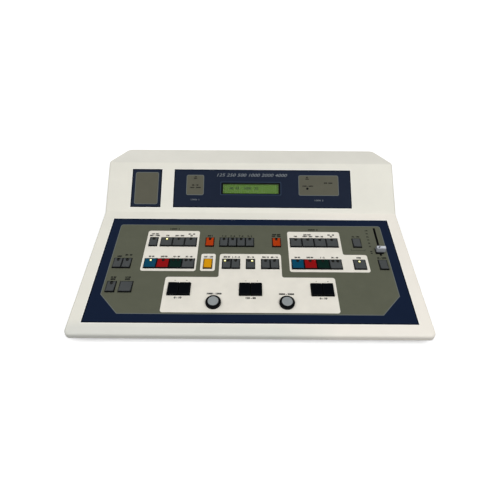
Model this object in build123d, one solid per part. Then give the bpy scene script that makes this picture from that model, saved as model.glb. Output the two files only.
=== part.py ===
from build123d import *
import math
import os

# Desktop two-channel audiometer console, in millimetres.
# X to the right, Y to the back, Z up; the origin is on the table under the middle.

# Case
side_border = 18.5
front_border = 16.5
fold_border = 15.3
rear_taper = 22.0
overlay_depth = 184.7
display_length = 84.2
top_depth = 46.8
taper_setback = 5.0
panel_slope = 8.0
display_slope = 36.9
lip_height = 8.0
case_wall = 3.0
edge_radius = 4.0
brow_radius = 5.0
front_corner_radius = 8.0
taper_corner_radius = 8.0
rear_corner_radius = 12.0
boss_radius = 3.5
boss_sides = 8
fit_gap = 0.3
overrun = 30.0

# Printed foils
foil_thickness = 0.5
foil_recess = 0.4
foil_margin = 0.2
display_foil_start = 8.1
display_foil_border = 11.9
display_foil_shares = (-0.535, 0.697)
badge_foil_shares = (-0.828, -0.621)

# Grid of the keys: steps from key to key, and across the whole control foil
key_grid = 2.54
key_gap = 1.0
narrow_steps = 5
black_steps = 6
wide_steps = 7
foil_steps = 166.5

# Rocking key caps
key_depth = 17.4
key_front_height = 2.5
key_rear_height = 0.9
black_depth = 19.4
black_front_height = 4.0
black_rear_height = 2.8
key_skirt = 5.3
key_wall = 1.2
key_edge = 0.35
key_dish = 0.45
key_facets = 3
key_side_gap = 0.8
key_front_gap = 0.8
knife_rise = 1.0
knife_gap = 0.1
knife_stop_gap = 0.3
pip_width = 2.4
pip_share = 0.35
key_rock = 5.0
rock_gap = 0.25

# Lamps in the keys
led_radius = 1.5
led_from_rear = 3.4
led_proud = 0.5
led_gap = 0.4
led_notch_floor = 1.2
led_pair_share = 0.2
led_sides = 8
notch_sides = 8

# Switch bodies under the keys
board_drop = 12.5
body_top = 1.7
body_clearance = 0.5
body_side_gap = 0.05
body_rear = 0.8

# Round tone buttons
tone_button_radius = 7.0
tone_button_height = 6.6
tone_button_depth = 5.0
ring_height = 3.5
ring_bore_gap = 0.4
ring_wall = 1.2
ring_lap = 0.7
ring_floor = 1.5
barrel_sides = 8

# Rows and columns on the control foil, as shares of its depth and of its half width
upper_row_share = 0.7405
lower_row_share = 0.519
side_row_share = 0.298
black_row_share = 0.2805
tone_row_share = 0.1635
tone_column_share = 0.2265
fader_column_share = 0.8865

# Slide fader
fader_travel_up = 40.0
fader_travel_down = 5.0
slot_width = 2.4
slot_end = 2.0
lever_thickness = 1.2
lever_length = 4.0
lever_floor_gap = 1.5
fader_knob_width = 14.0
fader_knob_foot = 9.0
fader_knob_crown = 6.0
fader_knob_height = 10.0
fader_knob_waist = 3.5
fader_knob_gap = 0.9
fader_knob_dish = 0.6
fader_knob_edge = 0.6
fader_line_width = 0.8
fader_line_depth = 0.4
fader_body_width = 9.0
fader_body_margin = 6.0
fader_body_drop = 5.0
fader_body_floor = 2.0
fader_body_slot = 2.4
fader_body_row_gap = 2.2

# Display
window_width = 89.0
window_height = 16.5
window_gap = 0.1
lcd_view_side = 2.75
lcd_view_end = 0.65
lcd_bezel_side = 3.75
lcd_bezel_end = 5.1
lcd_bezel_depth = 6.0
lcd_board_side = 8.0
lcd_board_end = 4.0
lcd_glass_step = 1.0
lcd_boss_inset = 3.5
indicator_share = 0.428
indicator_rise = 0.6
indicator_length = 6.0
indicator_proud = 0.4

# Control board
board_thickness = 1.6
control_board_side = 6.5
control_board_front = 13.5
control_board_rear = 8.0

# Base tray and its rear panel
sheet = 1.5
pan_drop = 6.0
pan_inset = 14.0
rear_opening_inset = 22.0
rear_opening_top = 74.0
return_wall = 2.5
panel_lap = 6.0
panel_fold = 6.0
vent_length = 44.0
vent_width = 3.0
vent_pitch = 8.0
vent_count = 8
post_side = 6.0
post_height = 6.0
post_inset = 5.0

# Feet and screws under the tray
foot_height = 5.0
foot_side = 18.0
foot_taper = 12.0
foot_inset = 42.0
foot_side_inset = 50.0
screw_head_radius = 2.8
screw_head = 1.6
screw_radius = 1.4
screw_length = 6.0
screw_gap = 0.2
screw_sides = 8

# Sockets on the rear panel
socket_height = 33.0
socket_shares = (-0.16, -0.02, 0.12, 0.26)
socket_bore = 3.2
socket_bore_depth = 14.0
socket_bush = 4.5
socket_bush_sides = 8
socket_nut = 8.0
socket_nut_sides = 6
socket_nut_thickness = 2.2
socket_body = 15.0
socket_body_depth = 18.0
socket_gap = 0.2
port_share = 0.60
port_width = 31.0
port_height = 12.5
port_flange = 0.8
shell_width = 17.0
shell_height = 8.4
shell_length = 5.5
shell_bevel = 2.0
port_body_depth = 10.0

# Mains inlet with fuse drawer and rocker switch
inlet_side_gap = 4.2
inlet_height = 38.0
inlet_flange_side = 2.5
inlet_flange_end = 2.0
inlet_flange = 2.5
inlet_side_wall = 2.3
inlet_end_wall = 2.5
inlet_body_depth = 22.0
inlet_well_width = 24.4
inlet_well_height = 16.6
inlet_well_depth = 16.5
inlet_well_bevel = 4.0
blade_width = 2.0
blade_height = 4.0
blade_length = 13.0
blade_spacing = 7.0
blade_centre = 1.0
blade_rise = 2.0
fuse_width = 6.0
fuse_height = 17.0
fuse_depth = 1.0
fuse_side_gap = 2.3
rocker_fuse_gap = 5.0
rocker_side_wall = 4.0
rocker_well_width = 11.0
rocker_well_height = 19.0
rocker_well_depth = 10.0
rocker_gap = 0.4
rocker_swing = 0.5
rocker_tilt = 7.0
rocker_rise = 1.6
rocker_depth = 5.0
rocker_pivot = 2.0
rocker_back_share = 0.5
rocker_pin_radius = 1.0
rocker_pin_gap = 0.1
rocker_pin_length = 1.2

# Main board and mains transformer in the tray
main_board_width = 230.0
main_board_depth = 96.0
main_board_share = 0.23
main_board_rear_gap = 30.0
chip_height = 3.0
chip_width = 30.0
chip_depth = 14.0
chip_column_shares = (-0.36, -0.12, 0.12, 0.36)
chip_row_shares = (-0.28, 0.08)
capacitor_radius = 8.0
capacitor_height = 20.0
capacitor_sides = 12
capacitor_shares = (-0.40, -0.30)
capacitor_row_share = 0.36
core_width = 60.0
core_depth = 24.0
core_height = 50.0
core_share = -0.60
core_inlet_gap = 9.0
coil_width = 38.0
coil_height = 34.0
coil_reach = 11.0
coil_bevel = 5.0
clamp_width = 14.0
clamp_foot = 10.0

# Boss places as shares
case_boss_front_share = 0.65
case_boss_side_shares = (0.335, 0.81)
control_boss_shares = ((-0.93, 0.095), (0.93, 0.095), (-0.74, 0.93), (0.74, 0.93))

# Sizes worked out from the ones above
panel_angle = math.radians(panel_slope)
display_angle = math.radians(display_slope)
narrow_pitch = narrow_steps * key_grid
black_pitch = black_steps * key_grid
wide_pitch = wide_steps * key_grid
narrow_key = narrow_pitch - key_gap
black_key = black_pitch - key_gap
wide_key = wide_pitch - key_gap
overlay_width = foil_steps * key_grid
half_foil = overlay_width / 2
half_case = half_foil + side_border
half_rear = half_case - rear_taper
rear_opening_half = half_rear - rear_opening_inset
panel_length = front_border + overlay_depth + fold_border
rim_z = foot_height + pan_drop
flange_z = rim_z + sheet
floor_z = foot_height + sheet
front_top_z = rim_z + lip_height
fold_z = front_top_z + panel_length * math.sin(panel_angle)
top_z = fold_z + display_length * math.sin(display_angle)
fold_run = panel_length * math.cos(panel_angle)
brow_run = fold_run + display_length * math.cos(display_angle)
case_depth = brow_run + top_depth
front_y = -case_depth / 2
rear_y = case_depth / 2
fold_y = front_y + fold_run
brow_y = front_y + brow_run
rear_panel_y = rear_y - pan_inset
foil_top = foil_thickness - foil_recess
display_foil_end = display_length - display_foil_border
window_centre = (display_foil_start + display_foil_end) / 2
lcd_view_width = window_width + 2 * lcd_view_side
lcd_view_height = window_height + 2 * lcd_view_end
lcd_bezel_width = lcd_view_width + 2 * lcd_bezel_side
lcd_bezel_height = lcd_view_height + 2 * lcd_bezel_end
lcd_board_width = lcd_bezel_width + 2 * lcd_board_side
lcd_board_height = lcd_bezel_height + 2 * lcd_board_end
key_middle_shift = (key_side_gap - key_front_gap) / 2
tone_bore = tone_button_radius + ring_bore_gap
boss_inset = case_wall + boss_radius * math.cos(math.pi / boss_sides) - fit_gap
barrel_radius = (tone_bore + ring_wall) / math.cos(math.pi / barrel_sides)
tone_hole = barrel_radius + fit_gap
ring_radius = barrel_radius + ring_lap
led_notch_radius = led_radius + led_gap
fader_run = fader_travel_up + fader_travel_down + lever_length + 2 * slot_end
fader_body_length = fader_run + 2 * fader_body_margin
fader_body_start = overlay_depth * lower_row_share + key_depth / 2 + body_rear + fader_body_row_gap
fader_middle = fader_body_start + fader_body_length / 2
fader_rest = fader_middle - (fader_travel_up - fader_travel_down) / 2
board_top_z = floor_z + post_height + board_thickness
rocker_from_well = fuse_side_gap + fuse_width + rocker_fuse_gap
inlet_walls = inlet_side_wall + rocker_side_wall
inlet_body_width = inlet_walls + inlet_well_width + rocker_from_well + rocker_well_width
inlet_body_height = rocker_well_height + 2 * inlet_end_wall
inlet_flange_width = inlet_body_width + 2 * inlet_flange_side
inlet_flange_height = inlet_body_height + 2 * inlet_flange_end
inlet_well_offset = inlet_side_wall + (inlet_well_width - inlet_body_width) / 2
fuse_offset = inlet_well_offset + inlet_well_width / 2 + fuse_side_gap + fuse_width / 2
rocker_offset = inlet_body_width / 2 - rocker_side_wall - rocker_well_width / 2
inlet_x = inlet_flange_width / 2 + inlet_side_gap - rear_opening_half
core_y = rear_panel_y - inlet_body_depth - core_inlet_gap - coil_reach - core_depth / 2

# The control panel and the steeper display face, each with local Z out of the face
panel = Plane(
    origin=(0, front_y, front_top_z),
    x_dir=(1, 0, 0),
    z_dir=(0, -math.sin(panel_angle), math.cos(panel_angle)),
)
display = Plane(
    origin=(0, fold_y, fold_z),
    x_dir=(1, 0, 0),
    z_dir=(0, -math.sin(display_angle), math.cos(display_angle)),
)

# Lamps of a key, as shares of its width from the middle
ONE = (0,)
TWO = (-led_pair_share, led_pair_share)
DARK = ()

# Groups of keys: column share, row share, key width, pitch, then each key with its lamps
KEY_GROUP_SHARES = (
    (-0.675, upper_row_share, narrow_key, narrow_pitch, {"left_source_key_1": ONE}),
    (
        -0.500,
        upper_row_share,
        wide_key,
        wide_pitch,
        {"left_source_key_2": ONE, "left_source_key_3": ONE, "left_source_key_4": ONE},
    ),
    (
        -0.540,
        lower_row_share,
        wide_key,
        wide_pitch,
        {"left_blue_key": ONE, "left_red_key": ONE, "left_green_key": TWO, "left_grey_key": TWO},
    ),
    (-0.852, lower_row_share, narrow_key, narrow_pitch, {"side_key_1": ONE, "side_key_2": ONE}),
    (-0.883, side_row_share, narrow_key, narrow_pitch, {"side_key_3": ONE}),
    (-0.789, side_row_share, wide_key, wide_pitch, {"side_key_4": DARK}),
    (-0.283, upper_row_share, narrow_key, narrow_pitch, {"left_orange_key": ONE}),
    (
        -0.0955,
        upper_row_share,
        narrow_key,
        narrow_pitch,
        {
            "centre_upper_key_1": ONE,
            "centre_upper_key_2": ONE,
            "centre_upper_key_3": ONE,
            "centre_upper_key_4": ONE,
        },
    ),
    (0.181, upper_row_share, narrow_key, narrow_pitch, {"right_orange_key": ONE}),
    (-0.283, lower_row_share, narrow_key, narrow_pitch, {"yellow_key": DARK}),
    (
        -0.1285,
        lower_row_share,
        narrow_key,
        narrow_pitch,
        {"centre_lower_key_1": TWO, "centre_lower_key_2": ONE},
    ),
    (0.001, lower_row_share, narrow_key, narrow_pitch, {"centre_lower_key_3": TWO}),
    (
        0.1315,
        lower_row_share,
        narrow_key,
        narrow_pitch,
        {"centre_lower_key_4": ONE, "centre_lower_key_5": ONE},
    ),
    (
        0.4425,
        upper_row_share,
        wide_key,
        wide_pitch,
        {
            "right_source_key_1": ONE,
            "right_source_key_2": ONE,
            "right_source_key_3": ONE,
            "right_source_key_4": ONE,
        },
    ),
    (
        0.4425,
        lower_row_share,
        wide_key,
        wide_pitch,
        {"right_blue_key": ONE, "right_red_key": ONE, "right_green_key": ONE, "right_grey_key": TWO},
    ),
    (0.7295, lower_row_share, wide_key, wide_pitch, {"right_lit_key": ONE}),
    (0.7405, upper_row_share, narrow_key, narrow_pitch, {"talk_key": DARK}),
    (0.8855, lower_row_share, narrow_key, narrow_pitch, {"reply_key": DARK}),
)
BLACK_GROUP_SHARES = (
    (-0.450, ("left_level_minus_key", "left_level_plus_key")),
    (0.002, ("frequency_minus_key", "frequency_plus_key")),
    (0.455, ("right_level_minus_key", "right_level_plus_key")),
)
TONE_BUTTONS = {"left_tone_button": -1, "right_tone_button": 1}


def on_panel(x, along, up=0):
    """Place on the control panel; along is measured from the foil's lower edge."""
    return panel.location * Pos(x, front_border + along, up)


def on_display(x, along):
    """Place on the display face; along is measured from the fold."""
    return display.location * Pos(x, along, 0)


def slab(width, depth, low, high):
    """Box about the local origin between two heights."""
    return Pos(0, 0, (low + high) / 2) * Box(width, depth, high - low)


def block(left, right, front, rear, low, high):
    """Box between three pairs of limits."""
    middle = Pos((left + right) / 2, (front + rear) / 2, (low + high) / 2)
    return middle * Box(right - left, rear - front, high - low)


def disc(radius, low, high):
    """Cylinder about the local origin between two heights."""
    return Pos(0, 0, (low + high) / 2) * Cylinder(radius, high - low)


def prism(radius, sides, low, high):
    """Upright prism with a regular outline, flat towards X and Y, between two heights."""
    outline = RegularPolygon(radius, sides, rotation=180 / sides)
    return Pos(0, 0, low) * extrude(outline, high - low)


def side_shape(points, half_width):
    """Outline of Y and Z points carried both ways along X."""
    return extrude(Plane.YZ * make_face(Polyline(*points, close=True)), half_width, both=True)


def rounded(outline, corners):
    """Rounds the corners of a flat outline that lie nearest to the given points."""
    for point, radius in corners:
        outline = fillet(outline.vertices().sort_by_distance(point)[0], radius)
    return outline


def spread(names, column_share, pitch):
    """Names of a group with the X of each key, side by side about the group's column."""
    middle = (len(names) - 1) / 2
    return [(name, half_foil * column_share + (i - middle) * pitch) for i, name in enumerate(names)]


# Case


def case_section(bottom):
    """Side view of the case as points of Y and Z."""
    return [
        (front_y, bottom),
        (front_y, front_top_z),
        (fold_y, fold_z),
        (brow_y, top_z),
        (rear_y, top_z),
        (rear_y, bottom),
    ]


def case_plan(inset):
    """Case seen from above, with parallel sides that taper in at the back.

    The outside has rounded corners; a plan drawn in by an inset has folded ones.
    """
    taper_y = brow_y + taper_setback
    corners = [
        ((half_case, front_y), front_corner_radius),
        ((half_case, taper_y), taper_corner_radius),
        ((half_rear, rear_y), rear_corner_radius),
    ]
    right = [point for point, _ in corners]
    left = [(-x, y) for x, y in reversed(right)]
    plan = make_face(Polyline(*right, *left, close=True))
    if inset:
        return offset(plan, -inset, kind=Kind.INTERSECTION)
    for (x, y), radius in corners:
        plan = rounded(plan, [((x, y), radius), ((-x, y), radius)])
    return plan


def plan_block(inset, low, high):
    """Upright block with the case's plan."""
    return Pos(0, 0, low) * extrude(case_plan(inset), high - low)


def inner_block(inset):
    """Space inside the cover, drawn in from its outside and open below its rim."""
    bottom = rim_z - overrun
    section = make_face(Polyline(*case_section(bottom), close=True))
    section = offset(section, -inset, kind=Kind.INTERSECTION)
    return extrude(Plane.YZ * section, half_case, both=True) & plan_block(inset, bottom, top_z)


def outer_block():
    """Outside of the cover: brow and fold rounded, then the rim of the upright walls."""
    section = make_face(Polyline(*case_section(rim_z), close=True))
    section = rounded(section, [((fold_y, fold_z), brow_radius), ((brow_y, top_z), brow_radius)])
    outer = extrude(Plane.YZ * section, half_case, both=True) & plan_block(0, rim_z, top_z)
    return fillet(upper_rim(outer), edge_radius)


def upper_rim(solid):
    """Edges between the upright walls and the faces above them."""
    upright = math.sin(panel_angle) / 2
    walls = [face for face in solid.faces() if abs(face.normal_at().Z) < upright]
    tops = [face for face in solid.faces() if face.normal_at().Z > upright]
    wall_edges = [edge for face in walls for edge in face.edges()]
    return [edge for face in tops for edge in face.edges() if edge in wall_edges]


def case_boss_places():
    """Places of the bosses that the tray is screwed to."""
    side_x = half_case - boss_inset
    places = [(half_case * case_boss_front_share, front_y + boss_inset)]
    places += [(side_x, front_y + case_depth * share) for share in case_boss_side_shares]
    return places + [(-x, y) for x, y in places]


def cover_bosses():
    """Bosses for the tray, the control board and the display module, ending in the wall."""
    post = prism(boss_radius, boss_sides, flange_z, top_z)
    bosses = [Pos(x, y, 0) * post for x, y in case_boss_places()]
    for column, row in control_boss_shares:
        place = on_panel(half_foil * column, overlay_depth * row)
        bosses.append(place * prism(boss_radius, boss_sides, -board_drop, 0))
    x = lcd_board_width / 2 - lcd_boss_inset
    reach = lcd_board_height / 2 - lcd_boss_inset
    for side, end in ((-1, -1), (1, -1), (-1, 1), (1, 1)):
        place = on_display(side * x, window_centre + end * reach)
        bosses.append(place * prism(boss_radius, boss_sides, -case_wall - lcd_bezel_depth, 0))
    limit = inner_block(case_wall / 2)
    return [boss & limit for boss in bosses]


def screw_pilots():
    """Few-sided pilot holes in the bosses that the tray is screwed to."""
    hole = prism(screw_radius + screw_gap, screw_sides, rim_z - case_wall, rim_z + screw_length)
    return [Pos(x, y, 0) * hole for x, y in case_boss_places()]


def rear_frame():
    """Frame that closes the gap between the cover's rear wall and the rear panel."""
    half = rear_opening_half + return_wall
    front = rear_panel_y + fit_gap
    rear = rear_y - case_wall / 2
    return block(-half, half, front, rear, flange_z + fit_gap, rear_opening_top + return_wall)


def rear_opening():
    """Opening in the rear wall that leaves the rear panel free."""
    half = rear_opening_half
    low = rim_z - overrun
    return block(-half, half, rear_panel_y - pan_inset, rear_y + overrun, low, rear_opening_top)


def key_cutouts(low, high):
    """Openings that the groups of keys sit in, as cutters between two heights."""
    cutters = []
    for column, row, width, pitch, keys in KEY_GROUP_SHARES:
        span = (len(keys) - 1) * pitch + width + 2 * key_side_gap
        place = on_panel(half_foil * column, overlay_depth * row + key_middle_shift)
        cutters.append(place * slab(span, key_depth + key_side_gap + key_front_gap, low, high))
    for column, names in BLACK_GROUP_SHARES:
        span = (len(names) - 1) * black_pitch + black_key + 2 * key_side_gap
        place = on_panel(half_foil * column, overlay_depth * black_row_share + key_middle_shift)
        cutters.append(place * slab(span, black_depth + key_side_gap + key_front_gap, low, high))
    return cutters


def panel_cutouts():
    """All openings of the control panel, through the foil and the wall."""
    low, high = -case_wall - fit_gap, case_wall
    cutters = key_cutouts(low, high)
    tone_cutter = prism(tone_hole, barrel_sides, low, high)
    cutters += [tone_place(side) * tone_cutter for side in TONE_BUTTONS.values()]
    slot = slab(slot_width, fader_run, low, high)
    cutters.append(on_panel(half_foil * fader_column_share, fader_middle) * slot)
    return cutters


def display_cutouts():
    """Window and lamp hole of the display face, through the foil and the wall."""
    low, high = -case_wall - fit_gap, case_wall
    window = on_display(0, window_centre) * slab(window_width, window_height, low, high)
    return [window, indicator_place() * prism(led_radius + window_gap, led_sides, low, high)]


def indicator_place():
    """Place of the small lamp at the right of the display."""
    return on_display(half_foil * indicator_share, window_centre + indicator_rise)


def tone_place(side):
    """Place of a round tone button, left or right."""
    return on_panel(half_foil * side * tone_column_share, overlay_depth * tone_row_share)


def foil_places():
    """Place, width and depth of the control, display and badge foils."""
    places = [(on_panel(0, overlay_depth / 2), overlay_width, overlay_depth)]
    depth = display_foil_end - display_foil_start
    for left, right in (display_foil_shares, badge_foil_shares):
        place = on_display(half_case * (left + right) / 2, window_centre)
        places.append((place, half_case * (right - left), depth))
    return places


def build_cover():
    """Top cover: hollow case with foil pockets, openings, bosses and the rear frame."""
    cover = outer_block() - inner_block(case_wall)
    cover = cover + cover_bosses() + rear_frame()
    cutters = [rear_opening()] + screw_pilots() + panel_cutouts() + display_cutouts()
    for place, width, depth in foil_places():
        pocket = slab(width + 2 * foil_margin, depth + 2 * foil_margin, -foil_recess, case_wall)
        cutters.append(place * pocket)
    return cover - cutters


def build_foils():
    """Printed foils of the control panel, the display face and the badge field."""
    blanks = [place * slab(width, depth, -foil_recess, foil_top) for place, width, depth in foil_places()]
    return [blanks[0] - panel_cutouts(), blanks[1] - display_cutouts(), blanks[2]]


# Keys and their switches


def crown_height(share, front_height, rear_height):
    """Height of a cap's dished top at a share of its depth: a parabola under the chord."""
    chord = front_height + (rear_height - front_height) * share
    return chord - 4 * key_dish * share * (1 - share)


def key_swing(reach):
    """How far a cap pressed down to its stop sinks at a reach from its knife edge."""
    return reach * math.sin(math.radians(key_rock))


def crown_edges(cap):
    """Edges around the dished top, without those between its facets."""
    tops = [face for face in cap.faces() if face.normal_at().Z > math.cos(display_angle)]
    edges = [edge for face in tops for edge in face.edges()]
    return [edge for edge in edges if edges.count(edge) == 1]


def key_cap(width, depth, front_height, rear_height, leds):
    """Rocking cap with its front edge at local Y 0: dished top, hollow, knife edge at the rear."""
    wall_front = depth - key_wall
    shares = [i / key_facets for i in range(key_facets + 1)]
    dish = [(depth * share, crown_height(share, front_height, rear_height)) for share in shares]
    skirt = [(depth, knife_rise - key_skirt), (wall_front, -key_skirt), (0, -key_skirt)]
    cap = side_shape(dish + skirt, width / 2)
    cap = chamfer(crown_edges(cap), key_edge)
    ceiling = key_wall + key_dish
    hollow = [
        (key_wall, -overrun),
        (key_wall, front_height - ceiling),
        (wall_front, rear_height - ceiling),
        (wall_front, -overrun),
    ]
    cap -= side_shape(hollow, width / 2 - key_wall)
    pip_y = depth * pip_share
    pip_low = key_swing(wall_front - pip_y + pip_width / 2) + rock_gap - body_top
    cap += Pos(0, pip_y, 0) * slab(pip_width, pip_width, pip_low, rear_height)
    for share in leds:
        cap -= Pos(width * share, depth - led_from_rear, 0) * led_notch(front_height)
    return cap


def led_notch(height):
    """Notch, open to the rear, that clears the lamp while the cap rocks."""
    high = 2 * height
    half = led_notch_radius * math.cos(math.pi / notch_sides)
    tail = block(-half, half, 0, 2 * led_from_rear, -led_notch_floor, high)
    return prism(led_notch_radius, notch_sides, -led_notch_floor, high) + tail


def key_body(width, depth):
    """Switch body: base that falls to the front, seat and stop for the knife edge, guide block."""
    knife_y = depth - key_wall
    seat = -key_skirt - knife_gap
    shoulder = -key_skirt - key_swing(knife_y) - rock_gap
    rear = depth + body_rear
    outline = [
        (0, -board_drop),
        (rear, -board_drop),
        (rear, seat + knife_rise),
        (depth + knife_stop_gap, seat + knife_rise),
        (knife_y + knife_stop_gap, seat),
        (knife_y, seat),
        (0, shoulder),
    ]
    inner = width / 2 - key_wall - body_clearance
    front = key_wall + body_clearance
    guide = block(-inner, inner, front, knife_y - body_clearance, shoulder - fit_gap, -body_top)
    return side_shape(outline, width / 2 - body_side_gap) + guide


def key_lamps(width, depth, front_height, rear_height, leds):
    """Few-sided lamps that stand on the guide block and show in the cap's notches."""
    share = 1 - led_from_rear / depth
    high = crown_height(share, front_height, rear_height) + led_proud
    lamp = prism(led_radius, led_sides, -body_top, high)
    return [Pos(width * side_share, depth - led_from_rear, 0) * lamp for side_share in leds]


def tone_button():
    """Round button cap in its ring."""
    return disc(tone_button_radius, -tone_button_depth, tone_button_height)


def tone_body():
    """Black ring on the foil with the barrel that guides the button, down to the board."""
    barrel = prism(barrel_radius, barrel_sides, -board_drop, foil_top)
    body = disc(ring_radius, foil_top, ring_height) + barrel
    return body - disc(tone_bore, ring_floor - board_drop, ring_height + overrun)


def build_keys():
    """Caps by name, with the switch bodies and the lamps that stay in the case."""
    caps, bodies, lamps = {}, [], []
    for column, row, width, pitch, keys in KEY_GROUP_SHARES:
        for name, x in spread(list(keys), column, pitch):
            place = on_panel(x, overlay_depth * row - key_depth / 2)
            size = (width, key_depth, key_front_height, key_rear_height, keys[name])
            caps[name] = [place * key_cap(*size)]
            bodies.append(place * key_body(width, key_depth))
            lamps += [place * lamp for lamp in key_lamps(*size)]
    for column, names in BLACK_GROUP_SHARES:
        for name, x in spread(names, column, black_pitch):
            place = on_panel(x, overlay_depth * black_row_share - black_depth / 2)
            cap = key_cap(black_key, black_depth, black_front_height, black_rear_height, DARK)
            caps[name] = [place * cap]
            bodies.append(place * key_body(black_key, black_depth))
    for name, side in TONE_BUTTONS.items():
        caps[name] = [tone_place(side) * tone_button()]
        bodies.append(tone_place(side) * tone_body())
    lamp = prism(led_radius, led_sides, -indicator_length, foil_top + indicator_proud)
    lamps.append(indicator_place() * lamp)
    return caps, bodies, lamps


# Fader


def build_fader_knob():
    """Fader knob with its lever, at rest."""
    foot, crown = fader_knob_foot / 2, fader_knob_crown / 2
    outline = [
        (-crown, fader_knob_height),
        (0, fader_knob_height - fader_knob_dish),
        (crown, fader_knob_height),
        (foot, fader_knob_waist),
        (foot, fader_knob_gap),
        (-foot, fader_knob_gap),
        (-foot, fader_knob_waist),
    ]
    knob = side_shape(outline, fader_knob_width / 2)
    ends = knob.faces().sort_by(Axis.X)
    knob = chamfer(ends[0].edges() + ends[-1].edges(), fader_knob_edge)
    low = fader_knob_height - fader_knob_dish - fader_line_depth
    knob -= slab(fader_knob_width, fader_line_width, low, fader_knob_height + overrun)
    lever_low = fader_body_floor + lever_floor_gap - board_drop
    knob += slab(lever_thickness, lever_length, lever_low, fader_knob_waist)
    return [on_panel(half_foil * fader_column_share, fader_rest) * knob]


def build_fader_body():
    """Fader housing on the board, slotted on top for the lever."""
    body = slab(fader_body_width, fader_body_length, -board_drop, -fader_body_drop)
    body -= slab(fader_body_slot, fader_run, fader_body_floor - board_drop, 0)
    return [on_panel(half_foil * fader_column_share, fader_middle) * body]


# Boards and display


def build_control_board():
    """Board that carries the switches, parallel to the control panel."""
    half = half_foil - control_board_side
    front = front_border + control_board_front
    rear = front_border + overlay_depth - control_board_rear
    return panel.location * block(-half, half, front, rear, -board_drop - board_thickness, -board_drop)


def build_lcd():
    """Display module behind its window: board, bezel frame and glass."""
    front, back = -case_wall, -case_wall - lcd_bezel_depth
    board = slab(lcd_board_width, lcd_board_height, back - board_thickness, back)
    bezel = slab(lcd_bezel_width, lcd_bezel_height, back, front)
    bezel -= slab(lcd_view_width, lcd_view_height, back, front)
    glass = slab(lcd_view_width, lcd_view_height, back, front - lcd_glass_step)
    return [on_display(0, window_centre) * piece for piece in (board, bezel, glass)]


def build_window():
    """Clear pane in the window of the display face."""
    width = window_width - 2 * window_gap
    height = window_height - 2 * window_gap
    return [on_display(0, window_centre) * slab(width, height, -case_wall, 0)]


def main_board_middle():
    """Middle of the main board in the tray."""
    y = rear_panel_y - main_board_rear_gap - main_board_depth / 2
    return Pos(half_case * main_board_share, y, 0)


def main_board_pieces():
    """Main board with its chips and smoothing capacitors."""
    board = slab(main_board_width, main_board_depth, board_top_z - board_thickness, board_top_z)
    chip = slab(chip_width, chip_depth, board_top_z, board_top_z + chip_height)
    can = prism(capacitor_radius, capacitor_sides, board_top_z, board_top_z + capacitor_height)
    pieces = [board]
    for column in chip_column_shares:
        for row in chip_row_shares:
            pieces.append(Pos(main_board_width * column, main_board_depth * row, 0) * chip)
    for column in capacitor_shares:
        pieces.append(Pos(main_board_width * column, main_board_depth * capacitor_row_share, 0) * can)
    return [main_board_middle() * piece for piece in pieces]


def core_place():
    """Middle of the mains transformer in the tray."""
    return Pos(half_case * core_share, core_y, 0)


def build_transformer():
    """Mains transformer on the tray: laminated core, coil on both sides and clamp."""
    core_top = floor_z + core_height
    core = slab(core_width, core_depth, floor_z, core_top)
    low = floor_z + (core_height - coil_height) / 2
    coil = Pos(0, 0, low) * extrude(Rectangle(coil_width, core_depth + 2 * coil_reach), coil_height)
    coil = chamfer(coil.edges().filter_by(Axis.Z), coil_bevel) - core
    half = core_width / 2
    strap = slab(core_width + 2 * sheet, clamp_width, floor_z, core_top + sheet)
    for left, right in ((-half - sheet - clamp_foot, -half), (half, half + sheet + clamp_foot)):
        strap += block(left, right, -clamp_width / 2, clamp_width / 2, floor_z, floor_z + sheet)
    pieces = [core] + list(coil.solids()) + [strap - core]
    return [core_place() * piece for piece in pieces]


# Base tray


def on_rear(x, height):
    """Place on the outer face of the rear panel, local Z pointing backwards."""
    return Plane(origin=(x, rear_panel_y, height), x_dir=(-1, 0, 0), z_dir=(0, 1, 0)).location


def rear_cutouts():
    """Holes of the rear panel for its sockets, the data port and the mains inlet."""
    low, high = -sheet - fit_gap, fit_gap
    hole = prism(socket_bush + socket_gap, socket_bush_sides, low, high)
    cutters = [on_rear(half_case * share, socket_height) * hole for share in socket_shares]
    port = slab(shell_width + 2 * socket_gap, shell_height + 2 * socket_gap, low, high)
    cutters.append(on_rear(half_case * port_share, socket_height) * port)
    width = inlet_body_width + 2 * socket_gap
    inlet = slab(width, inlet_body_height + 2 * socket_gap, low, high)
    cutters.append(on_rear(inlet_x, inlet_height) * inlet)
    return cutters


def tray_vents():
    """Row of cooling slots in the floor under the transformer."""
    slot = slab(vent_width, vent_length, 0, floor_z + sheet)
    middle = (vent_count - 1) / 2
    return [core_place() * Pos((i - middle) * vent_pitch, 0, 0) * slot for i in range(vent_count)]


def build_tray():
    """Folded base tray: flange inside the cover's rim, pan, and posts for the main board."""
    tray = plan_block(case_wall + fit_gap, rim_z, flange_z)
    tray += plan_block(pan_inset, foot_height, flange_z)
    tray -= plan_block(pan_inset + sheet, floor_z, flange_z + sheet)
    x = main_board_width / 2 - post_inset
    y = main_board_depth / 2 - post_inset
    for side, end in ((-1, -1), (1, -1), (-1, 1), (1, 1)):
        post = Pos(side * x, end * y, 0) * slab(post_side, post_side, foot_height, floor_z + post_height)
        tray += main_board_middle() * post
    hole = prism(screw_radius + screw_gap, screw_sides, rim_z - sheet, flange_z + sheet)
    holes = [Pos(x, y, 0) * hole for x, y in case_boss_places()]
    return [tray - (tray_vents() + holes)]


def build_rear_panel():
    """Upright rear panel on the tray's rim, with a fold along its foot."""
    half = rear_opening_half + panel_lap
    plate = block(-half, half, rear_panel_y - sheet, rear_panel_y, flange_z, rear_opening_top + panel_lap)
    half = rear_opening_half - panel_lap
    fold = block(-half, half, rear_panel_y - sheet, rear_panel_y + panel_fold, flange_z, flange_z + sheet)
    return [plate + fold - rear_cutouts()]


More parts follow.
